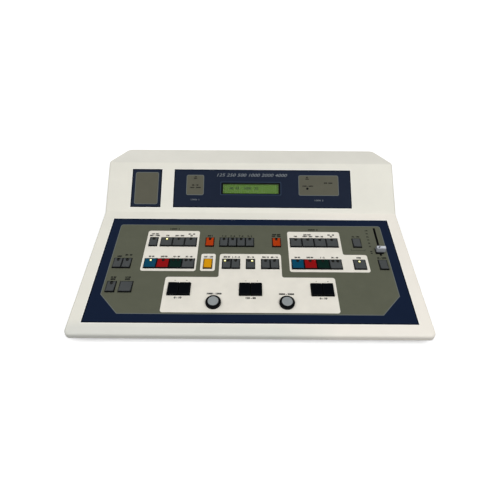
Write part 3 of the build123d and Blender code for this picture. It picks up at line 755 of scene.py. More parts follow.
@dataclass(frozen=True)
class Finishes:
    """All finishes of the console, each built once."""

    case: CaseEnamel = CaseEnamel()
    tray: Finish = Finish("tray_paint", (205, 205, 197), roughness=0.42, cloud=0.03, grain=0.12, wear=0.2)
    # In the key finishes the third number is the share of painted shade on the sides.
    grey_key: Finish = key_finish("key_grey", (68, 71, 72), 0.97, roughness=0.48, grain=0.18, wear=0.05)
    black_key: Finish = key_finish(
        "key_black", (2, 4, 8), 0.97, cloud=0.08, grain=0.12, wear=0.015, specular=0.02
    )
    blue_key: Finish = key_finish("key_blue", (0, 68, 94), specular=0.05)
    red_key: Finish = key_finish("key_red", (140, 8, 12), specular=0.05)
    green_key: Finish = key_finish("key_green", (0, 30, 23), wear=0.03, specular=0.04)
    orange_key: Finish = key_finish("key_orange", (174, 56, 4), 0.9, specular=0.06)
    yellow_key: Finish = key_finish("key_yellow", (213, 149, 4), 0.9, wear=0.05, specular=0.08)
    # The button's sides get painted shade.
    button: Finish = Finish(
        "button_grey", (141, 146, 147), roughness=0.40, cloud=0.06, grain=0.25, wear=0.5, edge=0.0009,
        side_shade=0.96, side_shade_from=0.60, side_shade_to=0.30,
    )
    black: Finish = Finish(
        "moulded_black", (7, 8, 10), roughness=0.5, cloud=0.08, grain=0.15, wear=0.02, specular=0.04
    )
    # The knob's sides get painted shade.
    fader: Finish = Finish("fader_grey", (198, 203, 211), roughness=0.38, grain=0.12, wear=0.3, side_shade=0.50)
    rubber: Finish = Finish("foot_rubber", (28, 28, 29), Base.RUBBER, roughness=0.85, cloud=0.12, grain=0.3)
    steel: Finish = Finish(
        "plated_steel", (170, 172, 175), Base.METAL, roughness=0.32, cloud=0.08, grain=0.08, specular=0.5
    )
    core: Finish = Finish(
        "core_steel", (96, 97, 100), Base.METAL, roughness=0.5, cloud=0.15, grain=0.3, specular=0.5
    )
    board: Finish = Finish(
        "board_green", (28, 82, 48), roughness=0.35, cloud=0.15, cloud_scale=140.0, grain=0.15
    )
    lamp: Finish = Finish(
        "lamp_dark", (20, 20, 14), roughness=0.35, cloud=0.10, cloud_scale=500.0, wear=0.0, specular=0.08
    )
    dark_ink: Finish = Finish("ink_dark", (8, 9, 12), roughness=0.5, cloud=0.08, wear=0.0, specular=0.03)
    pale_ink: Finish = Finish("ink_pale", (118, 124, 128), roughness=0.5, cloud=0.06, wear=0.0)
    digits: Finish = Finish("lcd_digits", (48, 76, 33), roughness=0.4, cloud=0.05, wear=0.0)
    foil: PrintedFoil = PrintedFoil()
    lit: LitLamp = LitLamp()
    screen: ScreenGlass = ScreenGlass()
    pane: WindowPane = WindowPane()
    _built: dict[str, Material] = field(default_factory=dict, compare=False)

    def get(self, name: str) -> Material:
        """Material of a finish, built at its first use.

        Args:
            name: the finish's name in this class.

        Returns:
            The material.
        """
        if name not in self._built:
            self._built[name] = getattr(self, name).build()
        return self._built[name]


# Meshes


def grid_faces(rows: int, columns: int, closed: bool) -> np.ndarray:
    """Quads between neighbouring points of a grid.

    Args:
        rows: points along the first parameter.
        columns: points along the second one.
        closed: joins the last column to the first.

    Returns:
        Array of shape (faces, 4) with point numbers.
    """
    row = np.arange(rows - 1)[:, None] * columns
    column = np.arange(columns if closed else columns - 1)[None, :]
    beside = (column + 1) % columns
    quads = np.stack([row + column, row + beside, row + columns + beside, row + columns + column], -1)
    return quads.reshape(-1, 4)


def mesh_of(name: str, points: np.ndarray, faces: np.ndarray) -> Mesh:
    """Mesh of points in metres and faces with equal numbers of corners.

    Args:
        name: the mesh's name.
        points: array of shape (points, 3).
        faces: array of shape (faces, corners).

    Returns:
        The mesh, with doubles merged and faces pointing outwards.
    """
    mesh = bpy.data.meshes.new(name)
    corners = faces.shape[1]
    mesh.vertices.add(len(points))
    mesh.vertices.foreach_set("co", points.astype(np.float32).ravel())
    mesh.loops.add(faces.size)
    mesh.loops.foreach_set("vertex_index", faces.astype(np.int32).ravel())
    mesh.polygons.add(len(faces))
    mesh.polygons.foreach_set("loop_start", np.arange(len(faces), dtype=np.int32) * corners)
    mesh.update(calc_edges=True)
    tidy(mesh)
    return mesh


def tidy(mesh: Mesh) -> None:
    """Merges doubles, drops faces without area and turns all faces outwards.

    Args:
        mesh: the mesh to change.
    """
    work = bmesh.new()
    work.from_mesh(mesh)
    bmesh.ops.remove_doubles(work, verts=work.verts, dist=MERGE)
    bmesh.ops.dissolve_degenerate(work, edges=work.edges, dist=MERGE / 2)
    bmesh.ops.recalc_face_normals(work, faces=work.faces)
    work.to_mesh(mesh)
    work.free()
    mesh.update()


def smooth(mesh: Mesh, angle: float = 35.0) -> None:
    """Shades a mesh smooth, but for edges sharper than an angle in degrees."""
    mesh.polygons.foreach_set("use_smooth", np.ones(len(mesh.polygons), dtype=bool))
    mesh.set_sharp_from_angle(angle=math.radians(angle))


def joined(name: str, meshes: Sequence[Mesh]) -> Mesh:
    """One mesh of several, which are then removed.

    Args:
        name: the new mesh's name.
        meshes: the meshes.

    Returns:
        The new mesh.
    """
    work = bmesh.new()
    for mesh in meshes:
        work.from_mesh(mesh)
    whole = bpy.data.meshes.new(name)
    work.to_mesh(whole)
    work.free()
    for mesh in meshes:
        bpy.data.meshes.remove(mesh)
    return whole


def turned(profile: Sequence[Pair], steps: int = 48) -> Shape:
    """Turns a profile about local Z: x = r cos a and y = r sin a for each radius r and angle a.

    Args:
        profile: radius and height of each point, from axis to axis or closed on itself.
        steps: points round the axis.

    Returns:
        Points and quads, in millimetres.
    """
    line = np.asarray(profile, float)
    angle = np.linspace(0, 2 * math.pi, steps, endpoint=False)
    radius, height = line[:, 0][:, None], line[:, 1][:, None]
    level = np.broadcast_to(height, (len(line), steps))
    grid = np.stack([radius * np.cos(angle), radius * np.sin(angle), level], -1)
    return grid.reshape(-1, 3), grid_faces(len(line), steps, True)


def carried(outline: np.ndarray, half: float, rounding: float, steps: int = 6) -> Shape:
    """Carries a closed outline along X, drawn in at both ends by a quarter circle.

    At an angle a of the quarter, the outline is drawn in by rounding x (1 - cos a) towards its
    middle and stands at half - rounding x (1 - sin a); a last ring closes each end on the middle.

    Args:
        outline: array of shape (points, 2) with Y and Z.
        half: half the length along X.
        rounding: radius of the rounded ends.
        steps: rings in each quarter.

    Returns:
        Points and quads, in millimetres.
    """
    angle = np.linspace(math.pi / 2, 0, steps)
    inset = np.concatenate([rounding * (1 - np.cos(angle)), rounding * (1 - np.cos(angle[::-1]))])
    place = half - rounding * (1 - np.sin(angle))
    side = np.concatenate([-place, place[::-1]])
    middle = (outline.min(0) + outline.max(0)) / 2
    reach = (outline.max(0) - outline.min(0)) / 2
    scale = 1 - inset[:, None, None] / reach
    rings = middle + (outline - middle) * scale
    closing = np.broadcast_to(middle, rings[:1].shape)
    rings = np.concatenate([closing, rings, closing])
    side = np.concatenate([side[:1], side, side[-1:]])
    x = np.broadcast_to(side[:, None, None], (*rings.shape[:2], 1))
    grid = np.concatenate([x, rings], -1)
    return grid.reshape(-1, 3), grid_faces(len(rings), len(outline), True)


def banded(outer: np.ndarray, inner: np.ndarray, low: float, top: float) -> Shape:
    """Closed band between two outlines of equal numbers of points and two heights.

    The rows are outer at low, outer at top, inner at top, inner at low, and the first again.

    Args:
        outer: array of shape (points, 2).
        inner: another one.
        low: the lower height.
        top: the upper height.

    Returns:
        Points and quads, in millimetres.
    """
    rows = [(outer, low), (outer, top), (inner, top), (inner, low), (outer, low)]
    grid = np.stack([np.column_stack([line, np.full(len(line), height)]) for line, height in rows])
    return grid.reshape(-1, 3), grid_faces(len(rows), len(outer), True)


def rounded_outline(corners: Sequence[Pair], radius: float, steps: int = 6) -> np.ndarray:
    """Closed outline whose corners are rounded by curves that leave each side at a radius.

    Each corner c between neighbours a and b becomes the curve (1-t)^2 p + 2t(1-t) c + t^2 q,
    where p and q lie at the radius from c on its two sides.

    Args:
        corners: the corners in order.
        radius: where the curves begin, from a corner.
        steps: points of each curve.

    Returns:
        Array of shape (points, 2).
    """
    points = np.asarray(corners, float)
    before = np.roll(points, 1, 0) - points
    after = np.roll(points, -1, 0) - points
    reach_before = np.minimum(radius / np.linalg.norm(before, axis=1), 0.5)[:, None]
    reach_after = np.minimum(radius / np.linalg.norm(after, axis=1), 0.5)[:, None]
    start, end = points + before * reach_before, points + after * reach_after
    share = np.linspace(0, 1, steps)[None, :, None]
    curve = (1 - share) ** 2 * start[:, None] + 2 * share * (1 - share) * points[:, None]
    return (curve + share**2 * end[:, None]).reshape(-1, 2)


def slab(along: Pair, height: Pair, width: float, rounding: float) -> Shape:
    """Flat block about x = 0.

    Args:
        along: its two ends up the face, in millimetres.
        height: its two ends over the face.
        width: its length along X.
        rounding: radius of its ends.

    Returns:
        Points and quads.
    """
    (near, far), (low, high) = along, height
    return carried(np.array([(near, low), (far, low), (far, high), (near, high)]), width / 2, rounding, 2)


def quarter(radius: float, height: float, rise: float, steps: int, inner: float = 0.0) -> list[Pair]:
    """Quarter of an ellipse for a turned profile.

    At an angle a from 0 to 90 degrees it has the radius inner + r cos a and the height h + rise sin a.

    Args:
        radius: its width r.
        height: height h of its outer end.
        rise: its height over that.
        steps: its points.
        inner: radius of its upper end.

    Returns:
        Radius and height of each point.
    """
    angles = np.linspace(0, math.pi / 2, steps)
    return [(inner + radius * math.cos(a), height + rise * math.sin(a)) for a in angles]


def moved(shape: Shape, x: float = 0.0, along: float = 0.0, height: float = 0.0) -> Shape:
    """The shape at another place."""
    return shape[0] + np.array([x, along, height]), shape[1]


def across(node: str) -> Pair:
    """Middle and width of a CAD node along X, in millimetres."""
    low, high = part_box(node)
    return (low.x + high.x) / 2 / MM, (high.x - low.x) / MM


class Workshop:
    """Makes objects, gives them their finish and hangs them on the CAD bodies."""

    def __init__(self, finishes: Finishes) -> None:
        """Keeps the finishes and counts the pieces."""
        self.finishes = finishes
        self.count = 0

    def piece(
        self, name: str, mesh: Mesh, finish: str | Sequence[str], body: str, slot: str,
        replaces: Sequence[str] = (), angle: float = 35.0,
    ) -> bpy.types.Object:
        """Adds a finished piece.

        Args:
            name: the piece's name.
            mesh: its mesh, already in place.
            finish: name of its finish, or one for each of its material numbers.
            body: the CAD body that it moves with.
            slot: not used.
            replaces: CAD nodes that it stands for.
            angle: sharpest edge that is shaded smooth, in degrees.

        Returns:
            The new object.
        """
        smooth(mesh, angle)
        mesh.name = name
        for each in [finish] if isinstance(finish, str) else finish:
            mesh.materials.append(self.finishes.get(each))
        made = bpy.data.objects.new(name, mesh)
        bpy.context.scene.collection.objects.link(made)
        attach(made, body)
        if replaces:
            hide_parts(*replaces)
        self.count += 1
        LOG.info("%s: %d faces on %s", name, len(mesh.polygons), body)
        return made

    def shape(self, parts: Sequence[Shape], slope: Slope) -> Mesh:
        """Mesh of several shapes in local millimetres, put in place."""
        return joined("shape", [mesh_of("part", slope.place(points), faces) for points, faces in parts])

    def copied(self, node: str, angle: float = 1.0) -> Mesh:
        """Merged copy of a CAD node's mesh, with its flat faces whole again.

        Args:
            node: the CAD node's name.
            angle: bend below which neighbouring faces count as flat, in degrees.

        Returns:
            The copy.
        """
        mesh = bpy.data.objects[node].data.copy()
        mesh.materials.clear()
        work = bmesh.new()
        work.from_mesh(mesh)
        bmesh.ops.remove_doubles(work, verts=work.verts, dist=MERGE)
        bmesh.ops.dissolve_limit(
            work, angle_limit=math.radians(angle), verts=work.verts, edges=work.edges, delimit=set()
        )
        work.to_mesh(mesh)
        work.free()
        return mesh

    def refined(
        self, node: str, finish: str, body: str, slot: str, bevel: float, segments: int = 3
    ) -> bpy.types.Object:
        """Stands for a CAD node with a merged copy whose edges are rounded.

        Args:
            node: the CAD node's name.
            finish: name of its finish.
            body: the CAD body that it moves with.
            slot: passed on to piece, which does not use it.
            bevel: size of the rounding, in millimetres.
            segments: faces across the rounding.

        Returns:
            The new object.
        """
        made = self.piece(node + "_dressed", self.copied(node), finish, body, slot, [node])
        rounding = made.modifiers.new("edges", "BEVEL")
        rounding.width = bevel * MM
        rounding.segments = segments
        rounding.limit_method = "ANGLE"
        rounding.angle_limit = math.radians(BEVEL_ANGLE)
        rounding.use_clamp_overlap = True
        rounding.harden_normals = True
        return made

    def dress(self, node: str, finish: str) -> None:
        """Gives a CAD node that stays its finish.

        Args:
            node: the CAD node's name.
            finish: name of its finish.
        """
        mesh = bpy.data.objects[node].data
        mesh.materials.clear()
        mesh.materials.append(self.finishes.get(finish))
        LOG.info("%s: %s", node, finish)


# Sub-assemblies


@dataclass
class Case:
    """Top cover, tray, feet and screws."""

    shop: Workshop
    screw_radius: float = 2.8
    screw_height: float = 1.6
    screw_flat: float = 1.08
    recess: float = 0.9
    arm_half: float = 0.4
    arm_reach: float = 1.6
    crisp: float = 12.0
    rim: float = 11.0
    places: tuple[Pair, ...] = ((149.5, -158.3), (224.0, -54.2), (224.0, 101.9))

    def build(self) -> None:
        """Builds and dresses the case."""
        cover = self.shop.piece(
            "case_cover", self.shop.copied("top_cover", 0.2), "case", ROOT, "case_shell", ["top_cover"], 30.0
        )
        weighted = cover.modifiers.new("flat_faces", "WEIGHTED_NORMAL")
        weighted.keep_sharp = True
        weighted.weight = 100
        self.shop.refined("base_tray", "tray", ROOT, "tray_metal", 0.25, 2)
        self.shop.refined("rubber_feet", "rubber", ROOT, "foot_rubber", 0.8)
        self.screws()

    def screws(self) -> None:
        """Pan-head screws: the head's height is a dome less a cross-shaped recess.

        The dome is h sqrt(1 - (r / f R)^2) with f a little over one. The recess is a product of two
        curves 1 / (1 + e^(c (d - limit))), across and along its arms.
        """
        steps, rings = 48, 14
        angle = np.linspace(0, 2 * math.pi, steps, endpoint=False)[None, :]
        radius = np.linspace(0, self.screw_radius, rings)[:, None]
        x, y = radius * np.cos(angle), radius * np.sin(angle)
        share = radius / (self.screw_radius * self.screw_flat)
        dome = self.screw_height * np.sqrt(np.maximum(1 - share**2, 0))
        cross = 1.0
        for edge, limit in ((np.minimum, self.arm_half), (np.maximum, self.arm_reach)):
            cross = cross / (1 + np.exp((edge(np.abs(x), np.abs(y)) - limit) * self.crisp))
        top = np.broadcast_to(dome, x.shape) - self.recess * cross
        ring = np.stack([x[-1:], y[-1:], 0 * x[-1:]], -1)
        grid = np.concatenate([np.stack([x, y, -top], -1), ring, np.zeros((1, steps, 3))])
        head = (grid.reshape(-1, 3), grid_faces(len(grid), steps, True))
        heads = [moved(head, side * x, y, self.rim) for x, y in self.places for side in (-1, 1)]
        mesh = self.shop.shape(heads, LEVEL)
        self.shop.piece("case_screw_heads", mesh, "steel", ROOT, "screw_steel", ["case_screws"], 40.0)


@dataclass(frozen=True)
class Row:
    """A row of keys: place of its middle up the panel, key depth and heights in millimetres."""

    along: float
    depth: float = 17.4
    front: float = 2.5
    rear: float = 0.9


class Rows(Enum):
    """Rows of keys on the panel."""

    UPPER = Row(136.77)
    LOWER = Row(95.86)
    SIDE = Row(55.04)
    BLACK = Row(51.81, 19.4, 4.0, 2.8)


class Lamps(Enum):
    """Lamps of a key, as shares of its width from its middle."""

    NONE = ()
    ONE = (0.0,)
    TWO = (-0.2, 0.2)


@dataclass(frozen=True)
class Key:
    """A rocking key: node, row, colour, lamps, lit lamps, and the plain numbers over it with their lift."""

    node: str
    row: Rows
    colour: str = "grey"
    lamps: Lamps = Lamps.ONE
    lit: tuple[int, ...] = ()
    label: str = ""
    lift: float = 0.0


KEYS = (
    Key("left_source_key_1", Rows.UPPER, label="125 250\n500 - 1000"),
    Key("left_source_key_2", Rows.UPPER, lit=(0,), label="125"),
    Key("left_source_key_3", Rows.UPPER, label="250 - 500"),
    Key("left_source_key_4", Rows.UPPER, label="20 - 40\n60"),
    Key("left_blue_key", Rows.LOWER, "blue", lit=(0,), label="20 40"),
    Key("left_red_key", Rows.LOWER, "red", label="250 50"),
    Key("left_green_key", Rows.LOWER, "green", Lamps.TWO, label="10 - 20"),
    Key("left_grey_key", Rows.LOWER, lamps=Lamps.TWO, label="30 - 40"),
    Key("side_key_1", Rows.LOWER, label="1000"),
    Key("side_key_2", Rows.LOWER, label="20 - 30", lift=2.6),
    Key("side_key_3", Rows.SIDE, label="10 20\n4000"),
    Key("side_key_4", Rows.SIDE, lamps=Lamps.NONE, label="15 25\n6000"),
    Key("left_orange_key", Rows.UPPER, "orange", label="500 1"),
    Key("centre_upper_key_1", Rows.UPPER, label="1 - 2"),
    Key("centre_upper_key_2", Rows.UPPER, label="5 - 6"),
    Key("centre_upper_key_3", Rows.UPPER, label="7 - 8"),
    Key("centre_upper_key_4", Rows.UPPER, label="3 - 4"),
    Key("right_orange_key", Rows.UPPER, "orange", label="1000 200\n250 - 500"),
    Key("yellow_key", Rows.LOWER, "yellow", Lamps.NONE, label="100 - 100"),
    Key("centre_lower_key_1", Rows.LOWER, lamps=Lamps.TWO, lit=(0,), label="250 50"),
    Key("centre_lower_key_2", Rows.LOWER, label="1 - 2 - 3"),
    Key("centre_lower_key_3", Rows.LOWER, lamps=Lamps.TWO, lit=(1,), label="20 - 10"),
    Key("centre_lower_key_4", Rows.LOWER, label="500 10"),
    Key("centre_lower_key_5", Rows.LOWER, label="80 - 10"),
    Key("right_source_key_1", Rows.UPPER, label="125"),
    Key("right_source_key_2", Rows.UPPER, label="250 500\n1000 - 200"),
    Key("right_source_key_3", Rows.UPPER, label="250 - 50"),
    Key("right_source_key_4", Rows.UPPER, label="20 - 40\n60"),
    Key("right_blue_key", Rows.LOWER, "blue", label="20 40"),
    Key("right_red_key", Rows.LOWER, "red", label="250 50"),
    Key("right_green_key", Rows.LOWER, "green", label="1 - 2"),
    Key("right_grey_key", Rows.LOWER, lamps=Lamps.TWO, label="30 - 40"),
    Key("right_lit_key", Rows.LOWER, lit=(0,), label="1000"),
    Key("talk_key", Rows.UPPER, lamps=Lamps.NONE, label="10 - 100"),
    Key("reply_key", Rows.LOWER, lamps=Lamps.NONE, label="10 - 1000"),
    *(
        Key(f"{pair}_{sign}_key", Rows.BLACK, "black", Lamps.NONE)
        for pair in ("left_level", "frequency", "right_level")
        for sign in ("minus", "plus")
    ),
)


@dataclass
class KeyField:
    """The rocking keys, their lamps and the switch bodies under them."""

    shop: Workshop
    bevel: float = 0.42
    lamp_radius: float = 1.45
    lamp_inset: float = 3.4
    lamp_foot: float = -1.6
    lamp_rise: float = 0.9
    lamp_over: float = 0.45
    lamp_steps: int = 28
    dish: float = 0.45
    indicator: Pair = (90.5, 40.8)
    indicator_radius: float = 1.9
    indicator_foot: float = -5.8
    indicator_low: float = 0.13
    indicator_side: float = 0.2
    indicator_rise: float = 0.28

    def build(self) -> None:
        """Builds the caps, the lamps and the bodies."""
        for key in KEYS:
            self.shop.refined(key.node, key.colour + "_key", key.node, "key_" + key.colour, self.bevel)
        self.shop.refined("switch_bodies", "black", ROOT, "switch_black", 0.3)
        self.lamps()

    def lamps(self) -> None:
        """Lamps with domed ends, some of them lit, as one piece of three finishes."""
        dark, lit = [], []
        for key in KEYS:
            row, (middle, width) = key.row.value, across(key.node)
            share = 1 - self.lamp_inset / row.depth
            dip = 4 * self.dish * share * (1 - share)
            top = row.front + (row.rear - row.front) * share - dip + self.lamp_over
            along = row.along + row.depth / 2 - self.lamp_inset
            for number, side in enumerate(key.lamps.value):
                lamp = moved(self.dome(top), middle + width * side, along)
                (lit if number in key.lit else dark).append(lamp)
        whole = []
        dot = moved(self.black_dot(), *self.indicator)
        groups = (dark, CASE.control), (lit, CASE.control), ([dot], CASE.display)
        for number, (group, slope) in enumerate(groups):
            mesh = self.shop.shape(group, slope)
            mesh.polygons.foreach_set("material_index", np.full(len(mesh.polygons), number, np.int32))
            whole.append(mesh)
        finishes = ["lamp", "lit", "black"]
        self.shop.piece("lamps", joined("lamps", whole), finishes, ROOT, "lamp_yellow", ["key_lamps"], 60.0)

    def dome(self, top: float) -> Shape:
        """Lamp turned from a shaft and a quarter ellipse, with its tip at a height.

        Args:
            top: that height over the panel.

        Returns:
            Points and quads, in millimetres.
        """
        side = [(0.0, self.lamp_foot), (self.lamp_radius, self.lamp_foot)]
        crown = quarter(self.lamp_radius, top - self.lamp_rise, self.lamp_rise, 9)
        return turned(side + crown, self.lamp_steps)

    def black_dot(self) -> Shape:
        """Lamp beside the display: a shaft with a wider, flatly domed head.

        Returns:
            Points and quads, in millimetres.
        """
        shaft = [(0.0, self.indicator_foot), (self.lamp_radius, self.indicator_foot)]
        shaft += [(self.lamp_radius, self.indicator_low), (self.indicator_radius, self.indicator_low)]
        crown = quarter(self.indicator_radius, self.indicator_side, self.indicator_rise, 7)
        return turned(shaft + crown, self.lamp_steps)


@dataclass
class RoundButtons:
    """The two round buttons: caps with a dished top and a rounded rim."""

    shop: Workshop
    radius: float = 7.0
    top: float = 5.4
    bottom: float = -5.0
    along: float = 30.2
    rim: float = 0.7
    dish: float = 0.6
    chamfer: float = 0.3

    def build(self) -> None:
        """Builds both caps."""
        for node in ("left_tone_button", "right_tone_button"):
            cap = moved(turned(self.profile(), 64), across(node)[0], self.along)
            mesh = self.shop.shape([cap], CASE.control)
            self.shop.piece(node + "_cap", mesh, "button", node, "button_grey", [node], 50.0)

    def profile(self) -> list[Pair]:
        """Radius and height: side, rim of a quarter circle, then a shallow bowl to the middle.

        Returns:
            The points in order.
        """
        inner, low, cut = self.radius - self.rim, self.bottom, self.chamfer
        side = [(0.0, low), (self.radius - cut, low), (self.radius, low + cut)]
        rim = quarter(self.rim, self.top - self.rim, self.rim, 8, inner)
        shares = np.linspace(1, 0, 9)[1:]
        bowl = [(inner * share, self.top - self.dish * (1 - share**2)) for share in shares]
        return side + rim + bowl


@dataclass
class Fader:
    """The slide fader: knob with its line and lever, and its body."""

    shop: Workshop
    column: float = 187.49
    rest: float = 122.55
    knob: Pair = (0.5, -0.35)
    cap_corner: float = 0.8
    cap_end: float = 0.6
    width: float = 12.9
    foot: float = 8.2
    crown: float = 5.4
    height: float = 8.6
    waist: float = 3.2
    dip: float = 0.3
    # Black plate under the knob as painted shadow: left, right, near and far ends, then heights.
    base: tuple[float, float, float, float] = (-6.9, 4.9, -6.9, 3.0)
    shadow_plate_heights: Pair = (0.35, 1.0)
    mark: tuple[float, float, float, float] = (-3.0, -0.4, 3.6, 1.5)
    mark_angle: float = 42.0
    mark_heights: Pair = (-0.7, 0.06)
    lever: tuple[Pair, ...] = ((-2.0, 1.2), (2.0, 1.2), (2.0, -8.9), (-2.0, -8.9))
    gap: float = 0.9
    slot_half: float = 1.17
    slot_low: float = -8.95
    slot_high: float = 43.95
    # Black sleeve on the slot's sides as painted shade: its thickness, lower and upper ends.
    shade_sleeve: float = 0.22
    shade_sleeve_low: float = -2.7
    shade_sleeve_top: float = 0.06

    def build(self) -> None:
        """Builds the knob, its line and lever, a black plate under the knob as painted shadow, and a
        black sleeve lining the slot as painted shade.
        """
        spot = (self.column, self.rest)
        middle = (self.column + self.knob[0], self.rest + self.knob[1])
        # Painted shade: a black sleeve lining the slot's sides.
        shade_sleeve = banded(self.slot_outline(0.0), self.slot_outline(self.shade_sleeve), self.shade_sleeve_low, self.shade_sleeve_top)
        mesh = self.shop.shape([moved(shade_sleeve, *spot)], CASE.control)
        self.shop.piece("fader_slot_shade_sleeve", mesh, "black", ROOT, "switch_black")
        mesh = self.shop.shape([moved(self.cap(), *middle)], CASE.control)
        self.shop.piece("fader_cap", mesh, "fader", "fader_knob", "fader_grey", ["fader_knob"], 40.0)
        # Painted shadow: a black plate under the knob, in one piece with the line and the lever.
        left, right, near, far = self.base
        base = slab((near, far), self.shadow_plate_heights, right - left, 0.05)
        lever = carried(rounded_outline(self.lever, 0.3, 3), 0.6, 0.1, 2)
        parts = [moved(self.line(), *middle), moved(lever, *spot)]
        parts.append(moved(base, self.column + (left + right) / 2, self.rest))
        mesh = self.shop.shape(parts, CASE.control)
        self.shop.piece("fader_line_and_shadow_plate", mesh, "black", "fader_knob", "fader_grey")
        self.shop.dress("fader_body", "black")

    def cap(self) -> Shape:
        """The knob's cap: a rounded trapezium with a shallow dip along its top.

        Returns:
            Points and quads, in millimetres.
        """
        crown, foot, top = self.crown / 2, self.foot / 2, self.height
        corners = [(-crown - self.dip, top), (-0.4, top - self.dip), (crown - 2 * self.dip, top)]
        corners += [(foot, self.waist), (foot, self.gap), (-foot, self.gap), (-foot, self.waist)]
        return carried(rounded_outline(corners, self.cap_corner), self.width / 2, self.cap_end)

    def line(self) -> Shape:
        """The slanting line on the cap.

        Returns:
            Points and quads, in millimetres.
        """
        x, along, length, width = self.mark
        low, high = self.mark_heights
        points, faces = slab((-width / 2, width / 2), (self.height + low, self.height + high), length, 0.02)
        turn = np.array(Matrix.Rotation(math.radians(self.mark_angle), 3, "Z"))
        return moved((points @ turn.T, faces), x, along)

    def slot_outline(self, inset: float) -> np.ndarray:
        """Outline of the slot about the knob's place, drawn in by an inset.

        Args:
            inset: that inset, in millimetres.

        Returns:
            Array of shape (4, 2).
        """
        x = self.slot_half - inset
        low, high = self.slot_low + inset, self.slot_high - inset
        return np.array([(-x, low), (x, low), (x, high), (-x, high)])


@dataclass(frozen=True)
class Mark:
    """Centred text in one ink.

    Its place is its middle across the face and the lower edge of its last line, its size the height
    of the letters' body, all in millimetres. Bold thickens the strokes, and lean slants them.
    """

    ink: str
    text: str
    x: float
    along: float
    size: float
    stretch: float = 1.0
    bold: float = 0.0
    lean: float = 0.0
    up: float = 0.12


